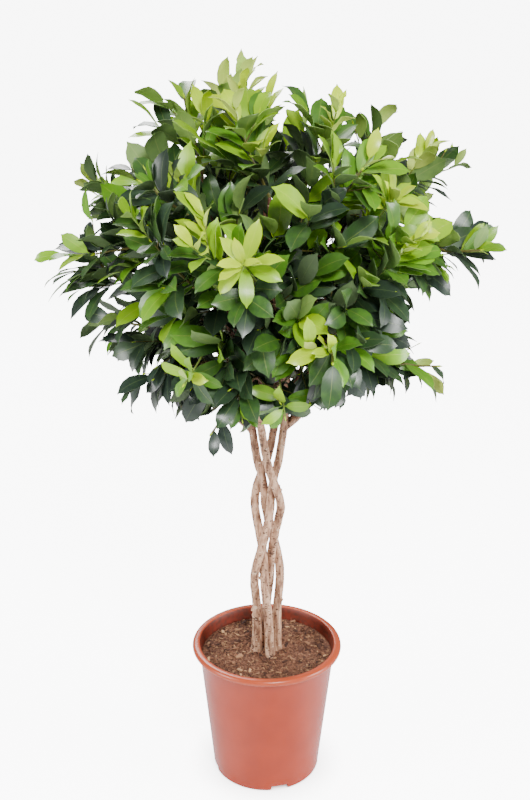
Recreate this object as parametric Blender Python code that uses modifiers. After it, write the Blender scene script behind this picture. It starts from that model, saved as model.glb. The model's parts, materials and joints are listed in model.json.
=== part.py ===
"""Potted ficus: a round-headed indoor tree on four braided stems, in a nursery pot of potting mix.

Metres, +Z up. The origin is the middle of the pot's foot, on the surface it stands on.
-Y is the side that faces the viewer.
"""

import math
import random

import bmesh
import bpy
from mathutils import Matrix, Vector
from mathutils.bvhtree import BVHTree

SEED = 127
GAP = 0.0004
MARGIN = 0.0005
CLEAR = 0.0010
WELD = 0.00002

# Pot
POT_HEIGHT = 0.277
RIM_R = 0.145
RIM_IN_R = 0.1305
LIP_HEIGHT = 0.013
WALL_TOP_R = 0.1315
FOOT_R = 0.1045
FOOT_ROUND = 0.006
WALL = 0.0022
LIP_NECK = 0.0040
LIP_UNDER = 0.0015
LIP_INNER_ROUND = 0.0030
FLOOR_Z = 0.012
PLUG_R = 0.070
RING_GAP = 0.012
RECESS = 0.008
RECESS_SLANT = 0.002
NOTCH_AT = (285.0, 15.0, 105.0, 195.0)
NOTCH_WIDE = 0.038
NOTCH_HIGH = 0.011
NOTCH_DEEP = 0.030
NOTCH_BELOW = 0.004
NOTCH_TAPER = 0.82
POT_STEPS = 28

# Soil
SOIL_Z = 0.250
SOIL_MOUND = 0.007
SOIL_RINGS = (0.058, 0.094, 0.124)
SOIL_EDGE_DROP = 0.004
HOLE_DEEP = 0.060
HOLE_OVER = 0.040
HOLE_SIDES = 12

# Braid: the four stems wind both ways round one axis, which is a little left of the pot's own
BRAID_R = 0.0195
BRAID_WEAVE = 0.0098
BRAID_STEPS_Z = (0.366, 0.538, 0.662, 0.735)
BRAID_POINTS = 13
STEM_R = 0.0086
FOOT_FLARE = 0.0112
FOOT_RISE = 0.004
FLARE_UP = 0.09
SLIM_FROM = 0.45
SLIM_RATE = 0.0048
STEMS = {
    "stem_1": {"start": 180.0, "turn": 1, "foot": 184.0, "sector": 0.0},
    "stem_2": {"start": 270.0, "turn": -1, "foot": 291.0, "sector": 90.0},
    "stem_3": {"start": 90.0, "turn": -1, "foot": 97.0, "sector": 270.0},
    "stem_4": {"start": 0.0, "turn": 1, "foot": 9.0, "sector": 180.0},
}

# Crown: a ball, flatter below, with lobes where long boughs stand out
CROWN = Vector((-0.005, 0.0, 1.035))
CROWN_WIDE = 0.330
CROWN_UP = 0.325
CROWN_DOWN = 0.314
CROWN_POWER = 2.1
TIP_SHARE = 0.53
LOW_TIP_SHARE = 0.61
LOW_BELOW = -18.0
REACH = ((-0.424, -0.412, 0.712), (0.411, 0.412, 1.398))
# Each lobe's azimuth, height and width in degrees, and how much further the crown reaches there
LOBES = (
    (353.0, 9.0, 13.0, 0.36),
    (8.0, 33.0, 12.0, 0.21),
    (94.0, 64.0, 11.0, 0.24),
    (184.0, 57.0, 11.0, 0.24),
    (172.0, 26.0, 10.0, 0.18),
    (187.0, -7.0, 12.0, 0.36),
    (176.0, -30.0, 11.0, 0.16),
    (205.0, -52.0, 11.0, 0.16),
    (352.0, -41.0, 12.0, 0.22),
    (268.0, 4.0, 13.0, 0.12),
    (300.0, -22.0, 12.0, 0.14),
    (258.0, -46.0, 12.0, 0.10),
    (236.0, 30.0, 12.0, 0.10),
    (62.0, 14.0, 13.0, 0.20),
    (112.0, 30.0, 12.0, 0.18),
    (98.0, -12.0, 13.0, 0.22),
    (50.0, -36.0, 12.0, 0.16),
    (142.0, -34.0, 12.0, 0.18),
)
# Where the boughs end: one high in the middle of each stem's own quarter, the others spread evenly
TOP_HEIGHT = 64.0
TOP_SHARE = 0.86
TOP_ARRIVE = 74.0
LEADER_POINTS = 9
LEADER_END_R = 0.0030
BOUGHS = 28
BOUGH_LOW = -0.64
BOUGH_HIGH = 0.80
GOLDEN_TURN = 137.508
BOUGH_START = 20.0
BOUGH_POINTS = 4
BOUGH_R = 0.0058
BOUGH_END_R = 0.0026
BOUGH_LOWEST = 0.795
BOUGH_TRIES = 8
SHOOTS = 22

# Leaves
BLADE = 0.0008
LEAF_LONG = (0.066, 0.090)
LEAF_HALF = 0.0192
YOUNG_LONG = (0.055, 0.078)
YOUNG_HALF = 0.0150
LEAF_OPEN = (42.0, 64.0)
YOUNG_OPEN = (30.0, 52.0)
LEAF_DROOP = (0.04, 0.24)
LEAF_WAVE = 0.0030
LEAF_SINK = 0.0005
LEAF_TRIES = 20
TWIG_LEAVE = 0.009
TWIG_STEPS = 2
TWIG_TRIES = 24
TWIG_LONG = (0.095, 0.130)
TWIG_END_R = 0.0017
SHOOT_LONG = (0.036, 0.052)
SHOOT_R = (0.0016, 0.0010)
SHOOT_NEEDS = 0.052
SPRAY_LEAVES = 7
SHOOT_LEAVES = 4
# The side the light comes from, where the young shoots are
LIGHT = Vector((0.35, -0.35, 1.0))


def clear_scene():
    """Removes every object the startup scene holds."""
    for held in list(bpy.data.objects):
        bpy.data.objects.remove(held, do_unlink=True)


def group(name, helper=False):
    """A new collection in the scene, drawn as wires and left out of renders if it holds helpers."""
    made = bpy.data.collections.new(name)
    made.hide_render = helper
    bpy.context.scene.collection.children.link(made)
    return made


def material(name, colour, roughness):
    """A Principled material of one colour."""
    made = bpy.data.materials.new(name)
    made.use_nodes = True
    shader = made.node_tree.nodes["Principled BSDF"]
    shader.inputs["Base Color"].default_value = (*colour, 1.0)
    shader.inputs["Roughness"].default_value = roughness
    made.diffuse_color = (*colour, 1.0)
    return made


def helper_of(name, mesh):
    """An object of this mesh among the helpers."""
    made = bpy.data.objects.new(name, mesh)
    made.display_type = "WIRE"
    made.hide_render = True
    HELPERS.objects.link(made)
    return made


def finish(held, name, finish_material):
    """Makes a helper one of the named parts."""
    HELPERS.objects.unlink(held)
    held.name = name
    held.data.name = name
    held.display_type = "TEXTURED"
    held.hide_render = False
    held.data.materials.clear()
    held.data.materials.append(finish_material)
    PARTS.objects.link(held)
    return held


def settle(held):
    """Applies every modifier of the object to its mesh."""
    bpy.context.view_layer.update()
    graph = bpy.context.evaluated_depsgraph_get()
    mesh = bpy.data.meshes.new_from_object(held.evaluated_get(graph))
    held.modifiers.clear()
    held.data = mesh


def combine(body, others, operation):
    """Joins the others to the body, or cuts them from it, and removes them."""
    tray = bpy.data.collections.new("tray")
    HELPERS.children.link(tray)
    for other in others:
        tray.objects.link(other)
    step = body.modifiers.new("combine", "BOOLEAN")
    step.operation = operation
    step.operand_type = "COLLECTION"
    step.collection = tray
    step.solver = "EXACT"
    settle(body)
    for other in others:
        bpy.data.objects.remove(other, do_unlink=True)
    bpy.data.collections.remove(tray)


def lathe(name, profile, steps):
    """A closed solid turned from a profile of (radius, height), which starts and ends on the axis."""
    mesh = bpy.data.meshes.new(name)
    edges = [(i, i + 1) for i in range(len(profile) - 1)]
    mesh.from_pydata([(r, 0.0, z) for r, z in profile], edges, [])
    held = helper_of(name, mesh)
    turn = held.modifiers.new("turn", "SCREW")
    turn.steps = steps
    turn.render_steps = steps
    turn.use_merge_vertices = True
    turn.merge_threshold = WELD
    turn.use_smooth_shade = False
    settle(held)
    return held


def rounded(middle, radius, start, end, count):
    """Points of an arc in the profile's plane, from one angle to another in degrees."""
    angles = [math.radians(start + (end - start) * i / count) for i in range(count + 1)]
    return [(middle[0] + radius * math.cos(a), middle[1] + radius * math.sin(a)) for a in angles]


def wall_r(z):
    """The outer radius of the pot's straight wall at a height."""
    share = (z - FOOT_ROUND) / (POT_HEIGHT - LIP_HEIGHT - FOOT_ROUND)
    return FOOT_R + (WALL_TOP_R - FOOT_R) * share


def inner_r(z):
    """The inner radius of the pot's wall at a height."""
    low = wall_r(FLOOR_Z) - WALL
    high = RIM_IN_R - 0.001
    return low + (high - low) * (z - FLOOR_Z) / (POT_HEIGHT - LIP_NECK - FLOOR_Z)


def make_pot():
    """The pot: a thin tapered wall, a rolled lip, a floor clear of the ground and four notches."""
    bead = LIP_HEIGHT / 2
    profile = [(0.0, FLOOR_Z), (inner_r(FLOOR_Z), FLOOR_Z)]
    profile += [(inner_r(POT_HEIGHT - LIP_NECK), POT_HEIGHT - LIP_NECK)]
    inner = (RIM_IN_R + LIP_INNER_ROUND, POT_HEIGHT - LIP_INNER_ROUND)
    profile += rounded(inner, LIP_INNER_ROUND, 150, 90, 1)
    profile += rounded((RIM_R - bead, POT_HEIGHT - bead), bead, 70, -70, 4)
    neck = POT_HEIGHT - LIP_HEIGHT - LIP_NECK
    profile += [(WALL_TOP_R + LIP_UNDER, POT_HEIGHT - LIP_HEIGHT), (wall_r(neck), neck)]
    profile += [(FOOT_R, FOOT_ROUND), (FOOT_R - 0.7 * FOOT_ROUND, 0.0)]
    profile += [(PLUG_R + RING_GAP, 0.0), (PLUG_R + RING_GAP - RECESS_SLANT, RECESS)]
    profile += [(PLUG_R, RECESS), (PLUG_R - RECESS_SLANT, 0.0), (0.0, 0.0)]
    pot = lathe("pot_turned", profile, POT_STEPS)
    cutters = []
    for angle in NOTCH_AT:
        mesh = bpy.data.meshes.new("notch")
        shape = bmesh.new()
        bmesh.ops.create_cube(shape, size=1.0)
        for corner in shape.verts:
            corner.co.y *= NOTCH_WIDE * (NOTCH_TAPER if corner.co.z > 0 else 1.0)
            corner.co.x = FOOT_R + corner.co.x * NOTCH_DEEP
            corner.co.z = NOTCH_HIGH if corner.co.z > 0 else -NOTCH_BELOW
        shape.to_mesh(mesh)
        shape.free()
        mesh.transform(Matrix.Rotation(math.radians(angle), 4, "Z"))
        cutters.append(helper_of("notch", mesh))
    combine(pot, cutters, "DIFFERENCE")
    return finish(pot, "pot", MATERIALS["pot"])


def soil_top(r):
    """The soil's height at a radius: a low mound that sinks to the pot's wall."""
    return SOIL_Z + SOIL_MOUND * (1.0 - (r / RIM_IN_R) ** 2)


def make_soil(feet):
    """The potting mix, which fills the pot to below its rim, with a plain hole for each stem."""
    low = FLOOR_Z + GAP
    edge = inner_r(SOIL_Z) - 2 * GAP
    profile = [(0.0, soil_top(0.0))] + [(r, soil_top(r)) for r in SOIL_RINGS]
    profile += [(edge, SOIL_Z - SOIL_EDGE_DROP), (inner_r(low) - 2 * GAP, low), (0.0, low)]
    soil = lathe("soil_turned", profile, POT_STEPS)
    cutters = []
    tall = HOLE_DEEP + HOLE_OVER
    for foot in feet:
        mesh = bpy.data.meshes.new("hole")
        shape = bmesh.new()
        bmesh.ops.create_cone(
            shape,
            cap_ends=True,
            segments=HOLE_SIDES,
            radius1=FOOT_FLARE + 3 * GAP,
            radius2=FOOT_FLARE + 3 * GAP,
            depth=tall,
        )
        shape.to_mesh(mesh)
        shape.free()
        mesh.transform(Matrix.Translation((foot.x, foot.y, SOIL_Z - HOLE_DEEP + tall / 2)))
        cutters.append(helper_of("hole", mesh))
    combine(soil, cutters, "DIFFERENCE")
    return finish(soil, "soil", MATERIALS["soil"])


def tube(points, radii, resolution):
    """A closed tube along the points, as a welded mesh among the helpers."""
    curve = bpy.data.curves.new("tube", "CURVE")
    curve.dimensions = "3D"
    curve.bevel_depth = 1.0
    curve.bevel_resolution = resolution
    curve.use_fill_caps = True
    spline = curve.splines.new("POLY")
    spline.points.add(len(points) - 1)
    for spot, point, radius in zip(spline.points, points, radii):
        spot.co = (*point, 1.0)
        spot.radius = radius
    holder = bpy.data.objects.new("tube", curve)
    HELPERS.objects.link(holder)
    mesh = bpy.data.meshes.new_from_object(holder)
    bpy.data.objects.remove(holder, do_unlink=True)
    shape = bmesh.new()
    shape.from_mesh(mesh)
    bmesh.ops.remove_doubles(shape, verts=shape.verts, dist=WELD)
    bmesh.ops.recalc_face_normals(shape, faces=shape.faces)
    shape.to_mesh(mesh)
    shape.free()
    return helper_of("tube", mesh)


def braid_turn(z):
    """How many quarter turns the braid has made at a height: below 0 at the feet."""
    marks = BRAID_STEPS_Z
    if z <= marks[0]:
        return 0.0
    for i in range(len(marks) - 1):
        if z <= marks[i + 1]:
            return i + (z - marks[i]) / (marks[i + 1] - marks[i])
    return len(marks) - 1.0


def on_braid(stem, z):
    """Where a stem's middle is at a height of the braid."""
    t = braid_turn(z)
    angle = stem["start"] + stem["turn"] * 90.0 * t
    if z < BRAID_STEPS_Z[0]:
        share = min(1.0, (BRAID_STEPS_Z[0] - z) / (BRAID_STEPS_Z[0] - SOIL_Z))
        angle += (stem["foot"] - stem["start"]) * share**0.8
    r = BRAID_R + stem["turn"] * BRAID_WEAVE * math.sin(math.pi * t)
    a = math.radians(angle)
    return Vector((r * math.cos(a), r * math.sin(a), z))


def envelope(direction):
    """How far the crown reaches from its middle in a direction."""
    up = CROWN_UP if direction.z > 0 else CROWN_DOWN
    wide = math.hypot(direction.x, direction.y) / CROWN_WIDE
    tall = abs(direction.z) / up
    ball = (wide**CROWN_POWER + tall**CROWN_POWER) ** (-1.0 / CROWN_POWER)
    swell = 0.0
    for azimuth, height, width, gain in LOBES:
        away = math.degrees(direction.angle(facing(azimuth, height))) / width
        swell = max(swell, gain * math.exp(-away * away))
    return ball * (1.0 + swell)


def outside(point):
    """Whether a leaf's point would leave the crown."""
    if not (REACH[0][0] < point.x < REACH[1][0] and REACH[0][1] < point.y < REACH[1][1]):
        return True
    if not REACH[0][2] < point.z < REACH[1][2]:
        return True
    return (point - CROWN).length > 1.04 * envelope((point - CROWN).normalized())


def facing(azimuth, height):
    """The unit vector at these angles in degrees."""
    a, e = math.radians(azimuth), math.radians(height)
    return Vector((math.cos(e) * math.cos(a), math.cos(e) * math.sin(a), math.sin(e)))


def bowed(start, leave, end, arrive, count):
    """Points of a smooth path that leaves and arrives in the given directions."""
    reach = (end - start).length * 0.38
    a, b = start + leave.normalized() * reach, end - arrive.normalized() * reach
    points = []
    for i in range(count + 1):
        t = i / count
        s = 1.0 - t
        points.append(start * s**3 + a * 3 * s * s * t + b * 3 * s * t * t + end * t**3)
    return points


def tapered(first, last, count):
    """Radii that run evenly from the first to the last."""
    return [first + (last - first) * i / (count - 1) for i in range(count)]


def tree_of(points, faces, margin):
    """A search tree of a shape, which overlaps whatever comes within the margin of it."""
    return BVHTree.FromPolygons(points, faces, epsilon=margin)


class Room:
    """What stands where: the shapes of each node, so that another node's shapes keep clear of them."""

    def __init__(self):
        self.held = []

    def add(self, node, points, faces):
        low = Vector([min(p[i] for p in points) for i in range(3)])
        high = Vector([max(p[i] for p in points) for i in range(3)])
        self.held.append((node, low, high, tree_of(points, faces, 0.0)))

    def free(self, points, faces, but=(), margin=MARGIN):
        """Whether a shape clears everything but the nodes named."""
        low = Vector([min(p[i] for p in points) for i in range(3)])
        high = Vector([max(p[i] for p in points) for i in range(3)])
        tree = None
        for node, a, b, other in self.held:
            if node in but or any(low[i] > b[i] + 0.001 or high[i] < a[i] - 0.001 for i in range(3)):
                continue
            tree = tree or tree_of(points, faces, margin)
            if tree.overlap(other):
                return False
        return True


LEAF_FACES = ((0, 2, 1), (1, 2, 4), (1, 4, 3), (3, 4, 5))


def leaf_points(root, along, up, long, half, droop, wave):
    """The six points of a blade: its root, two pairs of edge points, and its tip."""
    along = along.normalized()
    side = along.cross(up).normalized()
    up = side.cross(along).normalized()
    points = [root.copy()]
    for share, wide, lift in ((0.40, 1.0, wave), (0.74, 0.80, -wave)):
        middle = root + along * long * share + up * (long * (0.05 - droop * share * share))
        points.append(middle - side * half * wide + up * lift)
        points.append(middle + side * half * wide - up * lift)
    points.append(root + along * long * (1.0 - 0.3 * droop) + up * (-droop * long))
    return points


SLAB_FACES = LEAF_FACES + tuple((a + 6, c + 6, b + 6) for a, b, c in LEAF_FACES)
RIM = (0, 2, 4, 5, 3, 1)
SLAB_FACES += tuple((a, b, b + 6, a + 6) for a, b in zip(RIM, RIM[1:] + RIM[:1]))


def slab(points):
    """A blade's points twice, a little above and below it, as the room it takes."""
    up = (points[3] - points[2]).cross(points[4] - points[1]).normalized() * CLEAR
    return [p + up for p in points] + [p - up for p in points]


def blade(points):
    """A blade of one thickness on its points, split alike on both faces."""
    mesh = bpy.data.meshes.new("blade")
    mesh.from_pydata(points, [], [list(f) for f in LEAF_FACES])
    held = helper_of("blade", mesh)
    skin = held.modifiers.new("skin", "SOLIDIFY")
    skin.thickness = BLADE
    skin.offset = 0.0
    return held


def bough_ways():
    """The azimuth and height of every bough: an even spiral, with the nearest bough turned to each lobe."""
    ways = []
    for i in range(BOUGHS):
        rise = BOUGH_LOW + (BOUGH_HIGH - BOUGH_LOW) * (i + 0.5) / BOUGHS
        ways.append(((BOUGH_START + GOLDEN_TURN * i) % 360.0, math.degrees(math.asin(rise))))
    for azimuth, height, _, _ in LOBES:
        if height < TOP_HEIGHT:
            lobe = facing(azimuth, height)
            nearest = max(range(BOUGHS), key=lambda i: facing(*ways[i]).dot(lobe))
            ways[nearest] = (azimuth, height)
    return ways


def boughs_of(sector):
    """The boughs in a stem's quarter of the crown."""
    return [way for way in bough_ways() if abs((way[0] - sector + 180.0) % 360.0 - 180.0) <= 45.0]


def shape_of(held):
    """The points and faces of an object's mesh."""
    return [v.co.copy() for v in held.data.vertices], [list(p.vertices) for p in held.data.polygons]


def grow_stem(name, stem, rng, room):
    """A stem with its branches: the fused body, and where each twig is to start."""
    sector = stem["sector"]
    heights = [SOIL_Z - HOLE_DEEP + GAP, SOIL_Z + FOOT_RISE]
    rise = BRAID_STEPS_Z[2] - heights[1]
    heights += [heights[1] + rise * (i + 1) / BRAID_POINTS for i in range(BRAID_POINTS)]
    points = [on_braid(stem, z) for z in heights]
    points[0] = Vector((points[1].x, points[1].y, points[0].z))
    radii = []
    for z in heights:
        share = max(0.0, min(1.0, (z - SOIL_Z) / FLARE_UP))
        slim = max(0.0, z - SLIM_FROM) * SLIM_RATE
        radii.append(FOOT_FLARE + (STEM_R - FOOT_FLARE) * share**0.6 - slim)
    top = CROWN + facing(sector + 4, TOP_HEIGHT) * TIP_SHARE * CROWN_UP * TOP_SHARE
    leave = (points[-1] - points[-2]).normalized() + Vector((0.0, 0.0, 0.4))
    upper = bowed(points[-1], leave, top, facing(sector, TOP_ARRIVE), LEADER_POINTS)[1:]
    points += upper
    radii += tapered(radii[-1], LEADER_END_R, len(upper) + 1)[1:]
    leader = tube(points, radii, 1)
    branches = []
    ends = [(name, points[-1], (points[-1] - points[-2]).normalized(), radii[-1])]
    first = len(points) - len(upper)
    for azimuth, height in boughs_of(sector):
        fork = first + min(5, max(0, round(2.2 + height / 16)))
        for attempt in range(BOUGH_TRIES):
            out = facing(azimuth + rng.uniform(-3, 3) * attempt, height + rng.uniform(-2, 2) * attempt)
            share = LOW_TIP_SHARE if height < LOW_BELOW else TIP_SHARE
            end = CROWN + out * envelope(out) * share * rng.uniform(0.90, 1.08)
            end.z = max(end.z, BOUGH_LOWEST)
            leave = facing(azimuth, 38 if height < 0 else 50)
            arrive = out + Vector((0.0, 0.0, 0.30 if height < 0 else 0.35))
            path = bowed(points[fork], leave, end, arrive, BOUGH_POINTS)
            sizes = tapered(min(radii[fork] * 0.78, BOUGH_R), BOUGH_END_R, len(path))
            branch = tube(path, sizes, 0)
            if room.free(*shape_of(branch)):
                branches.append(branch)
                ends.append((name, path[-1], (path[-1] - path[-2]).normalized(), sizes[-1]))
                break
            bpy.data.objects.remove(branch, do_unlink=True)
    combine(leader, branches, "UNION")
    room.add(name, *shape_of(leader))
    finish(leader, name, MATERIALS["bark"])
    return ends


def twig_path(start, heading, towards, long, lift, rng):
    """A twig that leaves straight, turns to its own way and bends up or down as it runs."""
    points, way = [start, start + heading * TWIG_LEAVE], towards.normalized()
    for _ in range(TWIG_STEPS):
        jitter = Vector((rng.uniform(-1, 1), rng.uniform(-1, 1), rng.uniform(-1, 1))) * 0.10
        way = (way + Vector((0.0, 0.0, lift)) + jitter).normalized()
        points.append(points[-1] + way * (long / TWIG_STEPS))
    return points


def place_twig(name, base, start, heading, towards, long, radii, lift, room, rng):
    """A twig on the end of its base, which turns a little until it clears every other node."""
    for attempt in range(TWIG_TRIES):
        swing = 0.06 * attempt
        aim = towards.normalized() + Vector([rng.uniform(-swing, swing) for _ in range(3)])
        path = twig_path(start, heading, aim, long * (1.0 - 0.015 * attempt), lift, rng)
        if any(outside(point) for point in path):
            continue
        twig = tube(path, tapered(*radii, len(path)), 0)
        shape = shape_of(twig)
        if room.free(*shape, (base,)) and room.free(*shape, margin=0.0):
            room.add(name, *shape)
            return twig, path
        bpy.data.objects.remove(twig, do_unlink=True)
    return None, None


def leaf_sites(path, count, tip):
    """Where the leaves sit along a twig, with the twig's direction there."""
    sites = []
    for i in range(count):
        share = 0.18 + 0.74 * i / max(1, count - 1)
        spot = share * (len(path) - 1)
        k = min(int(spot), len(path) - 2)
        point = path[k].lerp(path[k + 1], spot - k)
        sites.append((point, (path[k + 1] - path[k]).normalized()))
    if tip:
        end = path[-1].lerp(path[-2], 0.08)
        sites.append((end, (path[-1] - path[-2]).normalized()))
    return sites


def dress(name, path, count, kind, tip, room, rng):
    """Blades along a twig, each turned until it clears what stands there already."""
    long_range, half, opens = (LEAF_LONG, LEAF_HALF, LEAF_OPEN)
    if kind == "shoot":
        long_range, half, opens = (YOUNG_LONG, YOUNG_HALF, YOUNG_OPEN)
    blades, shapes, mine, spin = [], [], Room(), rng.uniform(0, 360)
    sites = leaf_sites(path, count, tip)
    for i, (root, heading) in enumerate(sites):
        spin += GOLDEN_TURN
        outward = (root - CROWN).normalized()
        low = root.z < CROWN.z - 0.12
        is_tip = tip and i == len(sites) - 1
        for attempt in range(LEAF_TRIES):
            wild = attempt / LEAF_TRIES
            angle = math.radians(spin + rng.uniform(-25, 25) * (1 + 4 * wild))
            across = heading.orthogonal().normalized()
            across.rotate(Matrix.Rotation(angle, 3, heading))
            inward = across.dot(outward)
            if inward < 0.0:
                across = (across - outward * 1.4 * inward).normalized()
            open_by = math.radians(rng.uniform(*opens))
            if is_tip:
                open_by = math.radians(rng.uniform(4, 14 + 40 * wild))
            along = heading * math.cos(open_by) + across * math.sin(open_by) + outward * 0.25
            along.z += -0.45 if low and kind == "spray" else (0.22 if kind == "shoot" else -0.02)
            up = outward * 0.75 + Vector((0, 0, 0.65)) + heading * 0.25
            up += Vector([rng.uniform(-0.35, 0.35) for _ in range(3)]) * (1 + wild)
            long = rng.uniform(*long_range) * (1.0 - 0.40 * wild)
            wide = half * (long / long_range[1]) * rng.uniform(0.94, 1.06)
            droop, wave = rng.uniform(*LEAF_DROOP), rng.uniform(-LEAF_WAVE, LEAF_WAVE)
            shape = leaf_points(root + across * LEAF_SINK, along, up, long, wide, droop, wave)
            own = [p.copy() for p in shape]
            own[0] = shape[0].lerp((shape[1] + shape[2]) / 2, 0.15)
            if any(outside(point) for point in shape):
                continue
            if not room.free(slab(shape), SLAB_FACES, (name,)):
                continue
            if not mine.free(own, LEAF_FACES):
                continue
            blades.append(blade(shape))
            shapes.append(shape)
            mine.add(name, own, LEAF_FACES)
            break
    for shape in shapes:
        room.add(name, slab(shape), SLAB_FACES)
    return blades


def largest_body(held):
    """Leaves only the largest connected piece of a mesh."""
    shape = bmesh.new()
    shape.from_mesh(held.data)
    left, best = set(shape.verts), []
    while left:
        stack, found = [left.pop()], []
        while stack:
            vert = stack.pop()
            found.append(vert)
            for edge in vert.link_edges:
                other = edge.other_vert(vert)
                if other in left:
                    left.discard(other)
                    stack.append(other)
        best = max(best, found, key=len)
    keep = set(best)
    bmesh.ops.delete(shape, geom=[v for v in shape.verts if v not in keep], context="VERTS")
    shape.to_mesh(held.data)
    shape.free()


def grow_crown(ends, room):
    """Every spray and young shoot: their twigs first, then the leaves, outermost first."""
    jobs = []
    for i, (base, point, heading, radius) in enumerate(ends):
        rng = random.Random(SEED + 10 * i)
        name = f"spray_{i + 1:02d}"
        outward = (point - CROWN).normalized()
        lift = 0.10 if point.z > CROWN.z - 0.08 else -0.14
        start = point + heading * GAP
        long = rng.uniform(*TWIG_LONG)
        drift = outward.orthogonal().normalized()
        drift.rotate(Matrix.Rotation(rng.uniform(0.0, 2.0 * math.pi), 3, outward))
        aim = heading * 0.5 + outward * 0.5 + drift * 0.75
        sizes = (radius, TWIG_END_R)
        twig, path = place_twig(name, base, start, heading, aim, long, sizes, lift, room, rng)
        if twig is not None:
            jobs.append({"name": name, "twig": twig, "path": path, "kind": "spray", "rng": rng})
    order = sorted(jobs, key=lambda job: -job["path"][-1].dot(LIGHT))
    shoots = []
    for job in order:
        path, rng = job["path"], job["rng"]
        name = job["name"].replace("spray", "shoot")
        heading = (path[-1] - path[-2]).normalized()
        if len(shoots) == SHOOTS or outside(path[-1] + heading * SHOOT_NEEDS):
            continue
        start = path[-1] + heading * GAP
        base, long = job["name"], rng.uniform(*SHOOT_LONG)
        twig, tip_path = place_twig(
            name, base, start, heading, heading, long, SHOOT_R, 0.08, room, rng
        )
        if twig is not None:
            job["tipped"] = True
            shoots.append({"name": name, "twig": twig, "path": tip_path, "kind": "shoot", "rng": rng})
    for job in shoots + jobs:
        count = SHOOT_LEAVES if job["kind"] == "shoot" else SPRAY_LEAVES
        tip = job["kind"] == "shoot" or not job.get("tipped")
        blades = dress(job["name"], job["path"], count, job["kind"], tip, room, job["rng"])
        combine(job["twig"], blades, "UNION")
        largest_body(job["twig"])
        tint = "young_leaf" if job["kind"] == "shoot" else "leaf"
        finish(job["twig"], job["name"], MATERIALS[tint])
        job["count"] = len(blades)
    return jobs + shoots


clear_scene()
PARTS = group("potted_ficus")
HELPERS = group("helpers", helper=True)
MATERIALS = {
    "pot": material("terracotta_plastic", (0.50, 0.155, 0.090), 0.38),
    "soil": material("potting_mix", (0.130, 0.060, 0.032), 0.95),
    "bark": material("bark", (0.420, 0.330, 0.235), 0.80),
    "leaf": material("leaf", (0.022, 0.085, 0.020), 0.32),
    "young_leaf": material("young_leaf", (0.230, 0.440, 0.035), 0.40),
}

make_pot()
ROOM = Room()
ENDS = []
for stem_index, (stem_name, stem_facts) in enumerate(STEMS.items()):
    ENDS += grow_stem(stem_name, stem_facts, random.Random(SEED + stem_index), ROOM)
make_soil([on_braid(facts, SOIL_Z) for facts in STEMS.values()])
GROWN = grow_crown(ENDS, ROOM)
bpy.data.collections.remove(HELPERS)
print("leaves", sum(job["count"] for job in GROWN), "on", len(GROWN), "twigs")
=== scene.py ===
"""Dresses the potted ficus: glossy leaves, braided bark, potting mix and a nursery pot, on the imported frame.

Each leafy twig of the frame is read back leaf by leaf and pressed again as finer leaves in the same places,
and shorter side twigs fill the crown between them.
"""

import json
import logging
import math
import random
import sys
from dataclasses import dataclass, field
from enum import Enum

import bpy
import numpy as np
from mathutils import Matrix, Vector, noise
from mathutils.bvhtree import BVHTree
from mathutils.kdtree import KDTree

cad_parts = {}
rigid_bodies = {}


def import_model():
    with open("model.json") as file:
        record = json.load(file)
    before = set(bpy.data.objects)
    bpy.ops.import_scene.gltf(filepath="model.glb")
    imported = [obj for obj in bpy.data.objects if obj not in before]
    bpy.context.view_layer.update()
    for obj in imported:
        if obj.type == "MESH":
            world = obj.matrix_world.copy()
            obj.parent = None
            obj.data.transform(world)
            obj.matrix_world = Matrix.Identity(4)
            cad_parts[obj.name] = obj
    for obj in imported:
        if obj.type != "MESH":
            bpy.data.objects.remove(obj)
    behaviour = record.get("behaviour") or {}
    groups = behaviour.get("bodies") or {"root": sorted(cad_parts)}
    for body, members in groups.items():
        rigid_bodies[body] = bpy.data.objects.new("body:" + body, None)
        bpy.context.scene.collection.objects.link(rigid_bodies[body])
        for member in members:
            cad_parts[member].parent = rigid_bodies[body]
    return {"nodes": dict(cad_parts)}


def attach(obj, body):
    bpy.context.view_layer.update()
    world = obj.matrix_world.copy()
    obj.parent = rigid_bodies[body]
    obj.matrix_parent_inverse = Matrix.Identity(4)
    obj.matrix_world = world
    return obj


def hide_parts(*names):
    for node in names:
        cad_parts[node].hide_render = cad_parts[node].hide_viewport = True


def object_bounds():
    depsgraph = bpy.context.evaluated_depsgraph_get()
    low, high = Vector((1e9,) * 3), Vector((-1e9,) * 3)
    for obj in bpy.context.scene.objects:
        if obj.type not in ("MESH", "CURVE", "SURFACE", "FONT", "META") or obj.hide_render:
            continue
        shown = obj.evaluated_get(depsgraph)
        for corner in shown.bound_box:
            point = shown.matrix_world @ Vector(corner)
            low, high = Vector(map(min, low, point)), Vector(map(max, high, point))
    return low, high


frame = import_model()

CAD_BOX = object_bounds()
BODY = "root"
LOG = logging.getLogger("potted_ficus")
UP = Vector((0.0, 0.0, 1.0))

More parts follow.
